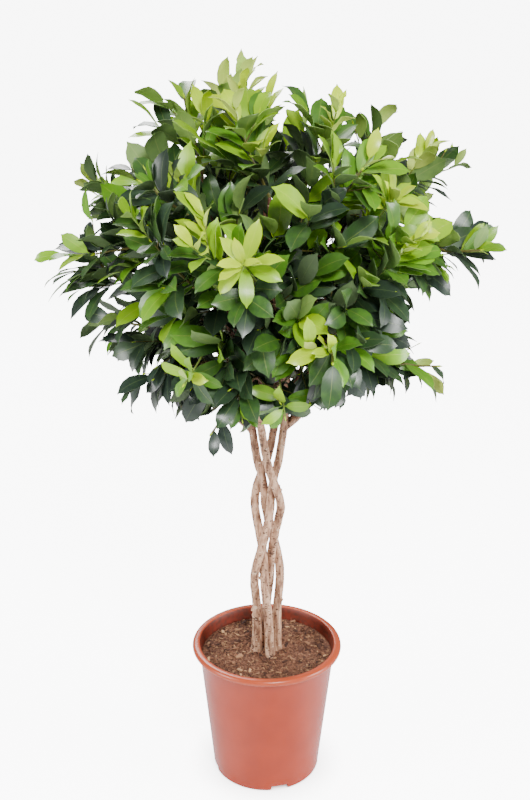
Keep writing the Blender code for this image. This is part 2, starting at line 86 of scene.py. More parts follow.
# The crown as the solids have it: a ball with lobes of (azimuth, height, width in degrees, gain)
CROWN = Vector((-0.005, 0.0, 1.035))
CROWN_WIDE = 0.330
CROWN_UP = 0.325
CROWN_DOWN = 0.314
CROWN_POWER = 2.1
CROWN_FLOOR = 0.736
LOBES = (
    (353.0, 9.0, 13.0, 0.36),
    (8.0, 33.0, 12.0, 0.21),
    (94.0, 64.0, 11.0, 0.24),
    (184.0, 57.0, 11.0, 0.24),
    (172.0, 26.0, 10.0, 0.18),
    (187.0, -7.0, 12.0, 0.36),
    (176.0, -30.0, 11.0, 0.16),
    (205.0, -52.0, 11.0, 0.16),
    (352.0, -41.0, 12.0, 0.22),
    (268.0, 4.0, 13.0, 0.12),
    (300.0, -22.0, 12.0, 0.14),
    (258.0, -46.0, 12.0, 0.10),
    (236.0, 30.0, 12.0, 0.10),
    (62.0, 14.0, 13.0, 0.20),
    (112.0, 30.0, 12.0, 0.18),
    (98.0, -12.0, 13.0, 0.22),
    (50.0, -36.0, 12.0, 0.16),
    (142.0, -34.0, 12.0, 0.18),
)
GOLDEN_TURN = 137.508
# Where the front of the crown has young leaves: (azimuth, height, width in degrees, how much younger)
YOUNG_CLUSTERS = (
    (207.0, 58.0, 10.5, 0.70),
    (208.0, 41.0, 7.0, 0.45),
    (181.0, 28.0, 7.0, 0.35),
    (245.0, 61.0, 6.5, 0.55),
    (97.0, 77.0, 9.0, 0.60),
    (279.0, 38.0, 5.5, 0.50),
    (311.0, 58.0, 8.0, 0.55),
    (327.0, 45.0, 11.0, 0.45),
    (323.0, 32.0, 10.0, 0.65),
    (2.0, 40.0, 7.5, 0.60),
    (330.0, 17.0, 11.0, 0.55),
    (343.0, 16.0, 8.0, 0.40),
    (307.0, 13.0, 6.5, 0.50),
    (247.0, 33.0, 8.0, 0.40),
    (252.0, 25.0, 8.5, 0.60),
    (263.0, 16.0, 11.5, 0.55),
    (248.0, 7.0, 6.5, 0.60),
    (229.0, -4.0, 7.5, 0.45),
    (232.0, -21.0, 8.0, 0.60),
    (245.0, -25.0, 5.5, 0.50),
    (287.0, -11.0, 8.0, 0.60),
    (277.0, -32.0, 8.5, 0.65),
    (306.0, -18.0, 5.0, 0.45),
    (343.0, -32.0, 6.5, 0.50),
    (283.0, 2.0, 6.5, 0.35),
    (203.0, -12.0, 6.0, 0.35),
    (192.0, -3.0, 5.0, 0.20),
    (305.0, 27.0, 8.5, 0.35),
)


# Where shoots come straight out of the crown with a whorl of young leaves: (azimuth, height) in degrees
ROSETTES = ((263.0, 15.0), (327.0, 30.0), (279.0, -44.0), (238.0, -30.0), (62.0, 12.0), (140.0, 24.0))


class Slot(Enum):
    """The record's material slots."""

    POT = "terracotta_plastic"
    MIX = "potting_mix"
    BARK = "bark"
    LEAF = "leaf"
    YOUNG = "young_leaf"


def linear(hex_colour: str) -> tuple[float, float, float, float]:
    """Turns an sRGB hex colour into a linear one.

    Args:
        hex_colour: Six hexadecimal digits after a hash sign.

    Returns:
        Red, green, blue and alpha from 0 to 1.
    """
    parts = [int(hex_colour[i : i + 2], 16) / 255.0 for i in (1, 3, 5)]
    curve = [p / 12.92 if p <= 0.04045 else ((p + 0.055) / 1.055) ** 2.4 for p in parts]
    return (*curve, 1.0)


def add_node(tree: bpy.types.NodeTree, kind: str, settings: dict | None = None, **inputs) -> bpy.types.Node:
    """Adds a shader node with its settings and what its sockets take.

    Args:
        tree: The material's node tree.
        kind: The node's type name.
        settings: Values for the node's own properties.
        **inputs: A socket's name with underscores for spaces, or i0, i1 for its place, and either a value
            or another node's output.

    Returns:
        The new node.
    """
    node = tree.nodes.new(kind)
    for name, value in (settings or {}).items():
        setattr(node, name, value)
    for name, value in inputs.items():
        numbered = name[0] == "i" and name[1:].isdigit()
        socket = node.inputs[int(name[1:])] if numbered else node.inputs[name.replace("_", " ")]
        if isinstance(value, bpy.types.NodeSocket):
            tree.links.new(value, socket)
        else:
            socket.default_value = value
    return node


def ramp(tree: bpy.types.NodeTree, driver: bpy.types.NodeSocket, stops: list) -> bpy.types.NodeSocket:
    """A colour ramp of (place, hex colour) stops.

    Args:
        tree: The material's node tree.
        driver: What the ramp reads.
        stops: Places from 0 to 1 with their colours.

    Returns:
        The ramp's colour output.
    """
    node = add_node(tree, "ShaderNodeValToRGB", i0=driver)
    elements = node.color_ramp.elements
    while len(elements) < len(stops):
        elements.new(0.5)
    for element, (place, colour) in zip(elements, stops):
        element.position = place
        element.color = linear(colour)
    return node.outputs["Color"]


def new_material(name: str) -> tuple[bpy.types.Material, bpy.types.NodeTree, bpy.types.Node]:
    """A material with its tree and its Principled shader."""
    made = bpy.data.materials.new(name)
    made.use_nodes = True
    return made, made.node_tree, made.node_tree.nodes["Principled BSDF"]


def math_node(tree: bpy.types.NodeTree, operation: str, a, b=0.0, clamp: bool = False):
    """One Math node's output."""
    node = add_node(tree, "ShaderNodeMath", {"operation": operation, "use_clamp": clamp}, i0=a, i1=b)
    return node.outputs[0]


@dataclass(frozen=True)
class MouldedTerracottaPlastic:
    """Injection-moulded polypropylene: a satin skin with soft wide highlights, a faint mottle and a rolled lip painted
    lighter as painted light.
    """

    outside: str = "#a3340f"
    deep: str = "#9b310e"
    lip_highlight: str = "#ae4c2c"
    roughness: float = 0.27
    mottle_mm: float = 60.0
    grain_mm: float = 1.6

    def material(self) -> bpy.types.Material:
        """Builds the material."""
        made, tree, shader = new_material("moulded_terracotta_polypropylene")
        spot = add_node(tree, "ShaderNodeTexCoord").outputs["Object"]
        mottle = add_node(tree, "ShaderNodeTexNoise", Vector=spot, Scale=1000.0 / self.mottle_mm, Detail=2.0)
        wall = ramp(tree, mottle.outputs["Fac"], [(0.35, self.deep), (0.65, self.outside)])
        height = add_node(tree, "ShaderNodeSeparateXYZ", Vector=spot).outputs["Z"]
        # Painted light: the rolled lip is mixed towards a lighter colour, as if lit from above.
        lip_light_share = add_node(tree, "ShaderNodeMapRange", i0=height, i1=0.2600, i2=0.2700, i3=0.0, i4=0.8).outputs[0]
        colour = add_node(tree, "ShaderNodeMix", {"data_type": "RGBA"}, i0=lip_light_share, i6=wall, i7=linear(self.lip_highlight))
        tree.links.new(colour.outputs[2], shader.inputs["Base Color"])
        grain = add_node(tree, "ShaderNodeTexNoise", Vector=spot, Scale=1000.0 / self.grain_mm, Detail=2.0)
        bump = add_node(tree, "ShaderNodeBump", Height=grain.outputs["Fac"], Strength=0.05, Distance=0.0003)
        tree.links.new(bump.outputs["Normal"], shader.inputs["Normal"])
        shader.inputs["Roughness"].default_value = self.roughness
        shader.inputs["IOR"].default_value = 1.49
        return made


@dataclass(frozen=True)
class ShadedInnerPlastic:
    """The inside of the pot: the same plastic, darkened all over as painted shade, in a blotchy smear of two shaded
    tones.
    """

    shaded_wall: str = "#6e2410"
    deeper_shade: str = "#4a2113"
    smear_mm: float = 9.0

    def material(self) -> bpy.types.Material:
        """Builds the material."""
        made, tree, shader = new_material("painted_shade_inner_polypropylene")
        spot = add_node(tree, "ShaderNodeTexCoord").outputs["Object"]
        smear = add_node(tree, "ShaderNodeTexNoise", Vector=spot, Scale=1000.0 / self.smear_mm, Detail=4.0)
        # Painted shade: both tones are far darker than the outside plastic.
        colour = ramp(tree, smear.outputs["Fac"], [(0.42, self.shaded_wall), (0.72, self.deeper_shade)])
        tree.links.new(colour, shader.inputs["Base Color"])
        shader.inputs["Roughness"].default_value = 0.55
        return made


@dataclass(frozen=True)
class MoistPottingMix:
    """Moist coir and bark fines: red-brown crumbs with dark damp hollows and pale dry specks."""

    damp: str = "#2c170f"
    body: str = "#704632"
    dry: str = "#a9805c"
    crumb_mm: float = 4.0
    speck_mm: float = 1.8

    def material(self) -> bpy.types.Material:
        """Builds the material."""
        made, tree, shader = new_material("moist_coir_and_bark_fines")
        spot = add_node(tree, "ShaderNodeTexCoord").outputs["Object"]
        crumb = add_node(
            tree, "ShaderNodeTexNoise", Vector=spot, Scale=1000.0 / self.crumb_mm, Detail=5.0, Roughness=0.7
        ).outputs["Fac"]
        colour = ramp(tree, crumb, [(0.34, self.damp), (0.50, self.body), (0.72, self.dry)])
        tree.links.new(colour, shader.inputs["Base Color"])
        speck = add_node(
            tree, "ShaderNodeTexNoise", Vector=spot, Scale=1000.0 / self.speck_mm, Detail=3.0
        ).outputs["Fac"]
        bump = add_node(tree, "ShaderNodeBump", Height=speck, Strength=0.8, Distance=0.0012)
        tree.links.new(bump.outputs["Normal"], shader.inputs["Normal"])
        shader.inputs["Roughness"].default_value = 0.92
        return made


@dataclass(frozen=True)
class BarkChip:
    """Pine bark chips and coir strands: each has its own shade from dark wet bark to tan inner bark."""

    dark: str = "#341a10"
    middle: str = "#7c5038"
    light: str = "#b88f66"

    def material(self) -> bpy.types.Material:
        """Builds the material."""
        made, tree, shader = new_material("shredded_pine_bark")
        shade = add_node(tree, "ShaderNodeAttribute", {"attribute_name": "shade"}).outputs["Fac"]
        spot = add_node(tree, "ShaderNodeTexCoord").outputs["Object"]
        grain = add_node(tree, "ShaderNodeTexNoise", Vector=spot, Scale=900.0, Detail=2.0).outputs["Fac"]
        mixed = math_node(tree, "ADD", shade, math_node(tree, "MULTIPLY", grain, 0.3))
        colour = ramp(tree, mixed, [(0.20, self.dark), (0.66, self.middle), (1.0, self.light)])
        tree.links.new(colour, shader.inputs["Base Color"])
        shader.inputs["Roughness"].default_value = 0.85
        return made


@dataclass(frozen=True)
class FigBark:
    """Fig bark: pale grey-tan skin with lighter lenticels, dark scars and faint cross rings, browner above."""

    pale: str = "#cda586"
    tan: str = "#a47b5f"
    brown: str = "#6b4935"
    bough: str = "#6e4634"
    shoot: str = "#7a6240"
    speck: str = "#452b1f"
    speck_mm: float = 6.5
    knot_mm: float = 24.0
    ring_mm: float = 9.0
    high_from: float = 0.74
    high_to: float = 0.92

    def material(self) -> bpy.types.Material:
        """Builds the material."""
        made, tree, shader = new_material("grey_tan_fig_bark")
        spot = add_node(tree, "ShaderNodeTexCoord").outputs["Object"]
        height = add_node(tree, "ShaderNodeSeparateXYZ", Vector=spot).outputs["Z"]
        streak_place = add_node(tree, "ShaderNodeMapping", Vector=spot, Scale=(1.0, 1.0, 0.22))
        streak = add_node(
            tree, "ShaderNodeTexNoise", Vector=streak_place.outputs[0], Scale=140.0, Detail=5.0, Roughness=0.65
        ).outputs["Fac"]
        trunk = ramp(tree, streak, [(0.36, self.brown), (0.47, self.tan), (0.60, self.pale)])
        upper = ramp(tree, streak, [(0.30, "#43291d"), (0.55, self.bough), (0.80, self.shoot)])
        rise = add_node(tree, "ShaderNodeMapRange", i0=height, i1=self.high_from, i2=self.high_to, i3=0.0, i4=0.9)
        body = add_node(tree, "ShaderNodeMix", {"data_type": "RGBA"}, i0=rise.outputs[0], i6=trunk, i7=upper)
        speck_place = add_node(tree, "ShaderNodeMapping", Vector=spot, Scale=(1.0, 1.0, 1.5))
        cell = add_node(tree, "ShaderNodeTexVoronoi", Vector=speck_place.outputs[0], Scale=1000.0 / self.speck_mm)
        chosen = add_node(tree, "ShaderNodeSeparateXYZ", Vector=cell.outputs["Color"])
        size = math_node(tree, "MULTIPLY", chosen.outputs["X"], 0.44)
        knot = add_node(tree, "ShaderNodeTexVoronoi", Vector=spot, Scale=1000.0 / self.knot_mm).outputs["Distance"]
        dots = math_node(
            tree, "MAXIMUM", math_node(tree, "LESS_THAN", cell.outputs["Distance"], size), math_node(tree, "LESS_THAN", knot, 0.17)
        )
        dark = math_node(tree, "GREATER_THAN", chosen.outputs["Y"], 0.35)
        speck = add_node(
            tree, "ShaderNodeMix", {"data_type": "RGBA"}, i0=dark, i6=linear("#d2b596"), i7=linear(self.speck)
        )
        colour = add_node(
            tree,
            "ShaderNodeMix",
            {"data_type": "RGBA"},
            i0=math_node(tree, "MULTIPLY", dots, 0.85),
            i6=body.outputs[2],
            i7=speck.outputs[2],
        ).outputs[2]
        tree.links.new(colour, shader.inputs["Base Color"])
        ring_place = add_node(tree, "ShaderNodeMapping", Vector=spot, Scale=(0.2, 0.2, 1.0))
        rings = add_node(
            tree, "ShaderNodeTexNoise", Vector=ring_place.outputs[0], Scale=1000.0 / self.ring_mm, Detail=3.0
        ).outputs["Fac"]
        relief = math_node(tree, "ADD", rings, math_node(tree, "MULTIPLY", streak, 1.2))
        relief = math_node(tree, "SUBTRACT", relief, math_node(tree, "MULTIPLY", dots, 0.5))
        bump = add_node(tree, "ShaderNodeBump", Height=relief, Strength=0.7, Distance=0.0012)
        tree.links.new(bump.outputs["Normal"], shader.inputs["Normal"])
        shader.inputs["Roughness"].default_value = 0.72
        return made


@dataclass(frozen=True)
class GreenTwig:
    """Young fig wood: smooth olive skin that turns brown towards the bough."""

    green: str = "#6f8236"
    brown: str = "#5c4428"

    def material(self) -> bpy.types.Material:
        """Builds the material."""
        made, tree, shader = new_material("olive_fig_twig")
        age = add_node(tree, "ShaderNodeAttribute", {"attribute_name": "age"}).outputs["Fac"]
        colour = ramp(tree, age, [(0.15, self.brown), (0.75, self.green)])
        tree.links.new(colour, shader.inputs["Base Color"])
        shader.inputs["Roughness"].default_value = 0.5
        return made


@dataclass(frozen=True)
class FicusLeaf:
    """A waxy fig leaf: lime when it opens, dark green when it hardens, with a pale midrib and fine side veins."""

    upper: bool = True
    veins: float = 11.0
    vein_slant: float = 1.1
    blotch_mm: float = 14.0

    def stops(self) -> list:
        """The colours from the oldest leaf to the youngest."""
        if self.upper:
            return [(0.0, "#1e2c23"), (0.22, "#2b4623"), (0.45, "#538614"), (0.70, "#86b206"), (1.0, "#b2cc02")]
        return [(0.0, "#46573a"), (0.30, "#587a30"), (0.60, "#84ae1c"), (1.0, "#b2ca10")]

    def material(self) -> bpy.types.Material:
        """Builds the material."""
        side = "upper" if self.upper else "under"
        made, tree, shader = new_material(f"waxy_fig_leaf_{side}")
        age = add_node(tree, "ShaderNodeAttribute", {"attribute_name": "age"}).outputs["Fac"]
        shade = add_node(tree, "ShaderNodeAttribute", {"attribute_name": "shade"}).outputs["Fac"]
        spot = add_node(tree, "ShaderNodeTexCoord").outputs["Object"]
        blotch = add_node(
            tree, "ShaderNodeTexNoise", Vector=spot, Scale=1000.0 / self.blotch_mm, Detail=2.0
        ).outputs["Fac"]
        wander = math_node(tree, "MULTIPLY_ADD", blotch, 0.16)
        wander.node.inputs[2].default_value = -0.08
        body = ramp(tree, math_node(tree, "ADD", age, wander), self.stops())
        place = add_node(tree, "ShaderNodeUVMap", {"uv_map": "leaf"}).outputs["UV"]
        axes = add_node(tree, "ShaderNodeSeparateXYZ", Vector=place)
        off = math_node(tree, "ABSOLUTE", math_node(tree, "SUBTRACT", axes.outputs["X"], 0.5))
        rib = math_node(tree, "LESS_THAN", off, 0.018)
        run = math_node(tree, "SUBTRACT", axes.outputs["Y"], math_node(tree, "MULTIPLY", off, self.vein_slant * 0.4))
        wave = math_node(tree, "SINE", math_node(tree, "MULTIPLY", run, self.veins * 2.0 * math.pi))
        veins = math_node(tree, "MULTIPLY", math_node(tree, "SUBTRACT", wave, 0.86, clamp=True), 2.2)
        lines = math_node(tree, "MAXIMUM", math_node(tree, "MULTIPLY", rib, 0.32), math_node(tree, "MULTIPLY", veins, 0.12))
        pale = ramp(tree, age, [(0.0, "#5f7446"), (1.0, "#d6dc4a")])
        veined = add_node(tree, "ShaderNodeMix", {"data_type": "RGBA"}, i0=lines, i6=body, i7=pale).outputs[2]
        bright = math_node(tree, "MULTIPLY_ADD", shade, 0.50)
        bright.node.inputs[2].default_value = 0.75
        colour = add_node(
            tree, "ShaderNodeHueSaturation", Saturation=1.0 if self.upper else 0.85, Value=bright, Color=veined
        ).outputs[0]
        tree.links.new(colour, shader.inputs["Base Color"])
        height = math_node(tree, "ADD", math_node(tree, "MULTIPLY", lines, -1.0), math_node(tree, "MULTIPLY", blotch, 0.5))
        bump = add_node(tree, "ShaderNodeBump", Height=height, Strength=0.35, Distance=0.0010)
        tree.links.new(bump.outputs["Normal"], shader.inputs["Normal"])
        shader.inputs["Roughness"].default_value = 0.36 if self.upper else 0.60
        shader.inputs["IOR"].default_value = 1.45
        shader.inputs["Coat Weight"].default_value = 0.12 if self.upper else 0.0
        shader.inputs["Coat Roughness"].default_value = 0.22
        return made


def pick_none() -> None:
    """Deselects every object."""
    for held in bpy.context.view_layer.objects:
        held.select_set(False)


def pick(held: bpy.types.Object) -> bpy.types.Object:
    """Makes an object the only one selected, and the active one."""
    pick_none()
    held.select_set(True)
    bpy.context.view_layer.objects.active = held
    return held


def choose(held: bpy.types.Object, places: list[int]) -> None:
    """Goes into edit mode with only these vertices selected."""
    pick(held)
    bpy.ops.object.mode_set(mode="EDIT")
    bpy.ops.mesh.select_mode(type="VERT")
    bpy.ops.mesh.select_all(action="DESELECT")
    bpy.ops.object.mode_set(mode="OBJECT")
    for i in places:
        held.data.vertices[i].select = True
    bpy.ops.object.mode_set(mode="EDIT")


def apply_all(held: bpy.types.Object) -> None:
    """Applies every modifier of an object."""
    pick(held)
    for step in list(held.modifiers):
        bpy.ops.object.modifier_apply(modifier=step.name)


def named(held: bpy.types.Object, name: str, materials: list[bpy.types.Material]) -> bpy.types.Object:
    """Names an object and its mesh and gives it its materials."""
    held.name = name
    held.data.name = name
    held.data.materials.clear()
    for finish in materials:
        held.data.materials.append(finish)
    return held


def turned(profile: list[tuple[float, float]], sides: int) -> bpy.types.Object:
    """A closed turned solid, drawn up ring by ring from a circle.

    Args:
        profile: (radius, height) points that start and end on the axis.
        sides: How many sides the rings have.

    Returns:
        The new object.
    """
    pick_none()
    radius, height = profile[1]
    bpy.ops.mesh.primitive_circle_add(
        vertices=sides, radius=radius, location=(0, 0, height), fill_type="TRIFAN"
    )
    held = bpy.context.object
    bpy.ops.object.transform_apply(location=True)
    bpy.ops.object.mode_set(mode="EDIT")
    bpy.ops.mesh.select_mode(type="EDGE")
    bpy.ops.mesh.select_all(action="SELECT")
    bpy.ops.mesh.region_to_loop()
    for before, after in zip(profile[1:-2], profile[2:-1]):
        move = {"value": (0.0, 0.0, after[1] - before[1])}
        bpy.ops.mesh.extrude_region_move(TRANSFORM_OT_translate=move)
        scale = after[0] / before[0]
        bpy.ops.transform.resize(value=(scale, scale, 1.0), center_override=(0.0, 0.0, after[1]))
    bpy.ops.mesh.extrude_region_move(TRANSFORM_OT_translate={"value": (0.0, 0.0, profile[-1][1] - profile[-2][1])})
    bpy.ops.mesh.merge(type="CENTER")
    bpy.ops.mesh.select_all(action="SELECT")
    bpy.ops.mesh.remove_doubles(threshold=0.000001)
    bpy.ops.mesh.normals_make_consistent(inside=False)
    bpy.ops.object.mode_set(mode="OBJECT")
    return held


def arc(middle: tuple[float, float], radius: float, start: float, end: float, count: int) -> list:
    """Points of an arc of a profile, from one angle to another in degrees."""
    angles = [math.radians(start + (end - start) * i / count) for i in range(count + 1)]
    return [(middle[0] + radius * math.cos(a), middle[1] + radius * math.sin(a)) for a in angles]


@dataclass
class NurseryPot:
    """The pot: a thin tapered wall, a rolled lip, a floor held off the ground and four drain notches."""

    height: float = 0.277
    rim_r: float = 0.145
    rim_in_r: float = 0.1305
    lip_height: float = 0.013
    wall_top_r: float = 0.1315
    foot_r: float = 0.1045
    foot_round: float = 0.006
    wall: float = 0.0022
    floor_z: float = 0.012
    plug_r: float = 0.070
    notch_at: tuple = (285.0, 15.0, 105.0, 195.0)
    notch_wide: float = 0.038
    notch_high: float = 0.011
    sides: int = 128

    def wall_r(self, z: float) -> float:
        """The outer radius of the straight wall at a height."""
        share = (z - self.foot_round) / (self.height - self.lip_height - self.foot_round)
        return self.foot_r + (self.wall_top_r - self.foot_r) * share

    def inner_r(self, z: float) -> float:
        """The inner radius of the wall at a height."""
        low = self.wall_r(self.floor_z) - self.wall
        high = self.rim_in_r - 0.001
        return low + (high - low) * (z - self.floor_z) / (self.height - 0.004 - self.floor_z)

    def profile(self) -> list[tuple[float, float]]:
        """The wall's outline, from the floor's middle over the lip to the underside's middle."""
        bead = self.lip_height / 2
        top = self.height
        points = [(0.0, self.floor_z), (self.inner_r(self.floor_z), self.floor_z)]
        points += [(self.inner_r(z), z) for z in (self.floor_z + 0.002, 0.13, top - 0.012, top - 0.004)]
        points += arc((self.rim_in_r + 0.003, top - 0.003), 0.003, 160, 95, 4)
        points += arc((self.rim_r - bead, top - bead), bead, 84, -84, 12)
        points += [(self.wall_top_r + 0.0022, top - self.lip_height + 0.0002)]
        points += [(self.wall_top_r + 0.0006, top - self.lip_height - 0.0012)]
        neck = top - self.lip_height - 0.004
        points += [(self.wall_r(neck), neck), (self.wall_r(0.19), 0.19), (self.wall_r(0.11), 0.11)]
        points += [(self.wall_r(0.05), 0.05), (self.wall_r(0.012), 0.012)]
        points += arc((self.foot_r - 0.0045, 0.0045), 0.0045, 0, -80, 5)
        points += [(self.foot_r - 0.007, 0.0002), (self.plug_r + 0.012, 0.0002), (self.plug_r + 0.010, 0.008)]
        points += [(self.plug_r, 0.008), (self.plug_r - 0.002, 0.0002), (0.0, 0.0002)]
        return points

    def notch(self, angle: float) -> bpy.types.Object:
        """A wedge-sided cutter for one drain notch."""
        pick_none()
        bpy.ops.mesh.primitive_cube_add(size=1.0)
        cutter = bpy.context.object
        for corner in cutter.data.vertices:
            corner.co.y *= self.notch_wide * (0.82 if corner.co.z > 0 else 1.0)
            corner.co.x = self.foot_r + corner.co.x * 0.030
            corner.co.z = self.notch_high if corner.co.z > 0 else -0.004
        cutter.data.transform(Matrix.Rotation(math.radians(angle), 4, "Z"))
        return cutter

    def build(self, skin: bpy.types.Material, inside: bpy.types.Material) -> bpy.types.Object:
        """Turns the pot, cuts its notches and paints shade on its inner wall.

        Args:
            skin: The plastic seen from outside.
            inside: The inner wall's material, darkened as painted shade.

        Returns:
            The pot.
        """
        pot = turned(self.profile(), self.sides)
        cutters = [self.notch(angle) for angle in self.notch_at]
        for cutter in cutters:
            step = pot.modifiers.new("notch", "BOOLEAN")
            step.operation = "DIFFERENCE"
            step.object = cutter
            step.solver = "EXACT"
        apply_all(pot)
        for cutter in cutters:
            bpy.data.objects.remove(cutter, do_unlink=True)
        pick(pot)
        bpy.ops.object.shade_smooth_by_angle(angle=math.radians(40))
        named(pot, "nursery_pot", [skin, inside])
        # The inward-facing wall, up to the lip's inner roll, takes the painted-shade material.
        for face in pot.data.polygons:
            inward = face.normal.xy.dot(face.center.xy.normalized()) < -0.5
            face.material_index = int(inward and self.floor_z < face.center.z < self.height - 0.001)
        return pot


@dataclass
class PottingMix:
    """The mix in the pot: a crumbly surface under bark chips and coir strands."""

    pot: NurseryPot
    top_z: float = 0.2555
    mound: float = 0.0035
    gap: float = 0.0008
    chips: int = 1900
    strands: int = 420
    seed: int = 31

    def top(self, r: float) -> float:
        """The surface's height at a radius."""
        return self.top_z + self.mound * (1.0 - (r / self.pot.rim_in_r) ** 2)

    def build(self, finish: bpy.types.Material) -> bpy.types.Object:
        """Turns the body, then crumbles its top."""
        edge = self.pot.inner_r(self.top_z) - self.gap
        low = self.pot.floor_z + self.gap
        profile = [(0.0, self.top(0.0) - 0.003)]
        profile += [(r, self.top(r) - 0.003) for r in [edge * i / 24 for i in range(1, 24)]]
        profile += [(edge, self.top_z - 0.004), (self.pot.inner_r(low) - self.gap, low), (0.0, low)]
        mix = turned(profile, 120)
        crumbs = bpy.data.textures.new("crumbs", "CLOUDS")
        crumbs.noise_scale = 0.006
        crumbs.noise_depth = 3
        raised = mix.vertex_groups.new(name="surface")
        inside = [v.index for v in mix.data.vertices if v.co.z > self.top_z - 0.003 and v.co.xy.length < edge - 0.001]
        raised.add(inside, 1.0, "REPLACE")
        crumble = mix.modifiers.new("crumble", "DISPLACE")
        crumble.texture = crumbs
        crumble.texture_coords = "LOCAL"
        crumble.vertex_group = "surface"
        crumble.direction = "Z"
        crumble.strength = 0.006
        crumble.mid_level = 0.5
        apply_all(mix)
        pick(mix)
        bpy.ops.object.shade_smooth_by_angle(angle=math.radians(60))
        return named(mix, "potting_mix_body", [finish])

    def chip(self) -> tuple[np.ndarray, list]:
        """One bark chip: a cube worn to an uneven wedge."""
        pick_none()
        bpy.ops.mesh.primitive_cube_add(size=1.0)
        held = bpy.context.object
        bpy.ops.object.mode_set(mode="EDIT")
        bpy.ops.mesh.select_all(action="SELECT")
        bpy.ops.mesh.bevel(offset=0.16, segments=1, affect="VERTICES")
        bpy.ops.object.mode_set(mode="OBJECT")
        for corner in held.data.vertices:
            corner.co.z *= 0.55 + 0.45 * corner.co.x
            corner.co.y *= 0.8 - 0.3 * corner.co.x
        points = np.array([v.co for v in held.data.vertices])
        faces = [list(p.vertices) for p in held.data.polygons]
        bpy.data.objects.remove(held, do_unlink=True)
        return points, faces

    def scatter(self, finish: bpy.types.Material, feet: list[Vector]) -> bpy.types.Object:
        """Strews the chips and strands over the surface.

        Args:
            finish: The chips' material.
            feet: Where the stems stand, which nothing is strewn on.

        Returns:
            The chips and strands as one object.
        """
        rng = random.Random(self.seed)
        chip, chip_faces = self.chip()
        sheet = MeshHeap()
        edge = self.pot.inner_r(self.top_z) - 0.004
        for i in range(self.chips + self.strands):
            strand = i >= self.chips
            long = rng.uniform(0.008, 0.026) if strand else min(0.015, 0.0022 + rng.expovariate(1 / 0.0021))
            wide = rng.uniform(0.0006, 0.0011) if strand else long * rng.uniform(0.30, 0.75)
            thick = 0.0006 if strand else long * rng.uniform(0.12, 0.40)
            r = (edge - long / 2) * math.sqrt(rng.random())
            a = rng.uniform(0, 2 * math.pi)
            x, y = r * math.cos(a), r * math.sin(a)
            near = min((Vector((x, y)) - foot.xy).length for foot in feet)
            if near < 0.0085:
                continue
            tilt = Matrix.Rotation(rng.gauss(0, 0.32), 4, "Y") @ Matrix.Rotation(rng.gauss(0, 0.32), 4, "X")
            turn = Matrix.Rotation(rng.uniform(0, 2 * math.pi), 4, "Z") @ tilt
            place = Matrix.Translation((x, y, self.top(r) - 0.002 + thick * 0.5 + rng.uniform(0, 0.0022)))
            if strand:
                bend = rng.uniform(-0.5, 0.5)
                run = [turn @ Vector(((k / 4 - 0.5) * long, bend * long * (k / 4 - 0.5) ** 2, 0.0)) for k in range(5)]
                run = [place @ p for p in run]
                points, faces = tube_mesh(run, [wide / 2] * 5, 3)
            else:
                matrix = np.array(place @ turn @ Matrix.Diagonal((long, wide, thick, 1.0)))
                points = chip @ matrix[:3, :3].T + matrix[:3, 3]
                faces = chip_faces
            sheet.add(points, faces, 0, {"shade": rng.uniform(0.10, 0.85) if strand else rng.betavariate(1.5, 2.5)})
        return sheet.build("bark_chips", [finish])


def frames_along(points: list[Vector]) -> list[tuple[Vector, Vector]]:
    """Two unit vectors square to a path at each of its points, turned along it without twist."""
    tangents = [
        (points[min(i + 1, len(points) - 1)] - points[max(i - 1, 0)]).normalized() for i in range(len(points))
    ]
    across = tangents[0].orthogonal().normalized()
    found = []
    for tangent in tangents:
        across = (across - tangent * across.dot(tangent)).normalized()
        found.append((across, tangent.cross(across).normalized()))
    return found


def tube_mesh(points: list[Vector], radii: list[float], sides: int, knob=None) -> tuple[np.ndarray, list]:
    """A closed tube along a path.

    Args:
        points: The path's points.
        radii: The tube's radius at each of them.
        sides: How many sides it has.
        knob: Gives a share of the radius to add for (step, angle), or None.

    Returns:
        The vertices and the faces.
    """
    rings = []
    for k, (point, radius, (a, b)) in enumerate(zip(points, radii, frames_along(points))):
        for i in range(sides):
            turn = 2 * math.pi * i / sides
            grown = radius * (1.0 + (knob(k, turn) if knob else 0.0))
            rings.append(point + (a * math.cos(turn) + b * math.sin(turn)) * grown)
    count = len(points)
    faces = []
    for k in range(count - 1):
        for i in range(sides):
            j = (i + 1) % sides
            faces.append([k * sides + i, k * sides + j, (k + 1) * sides + j, (k + 1) * sides + i])
    faces.append([i for i in range(sides)][::-1])
    faces.append([(count - 1) * sides + i for i in range(sides)])
    return np.array([tuple(p) for p in rings]), faces


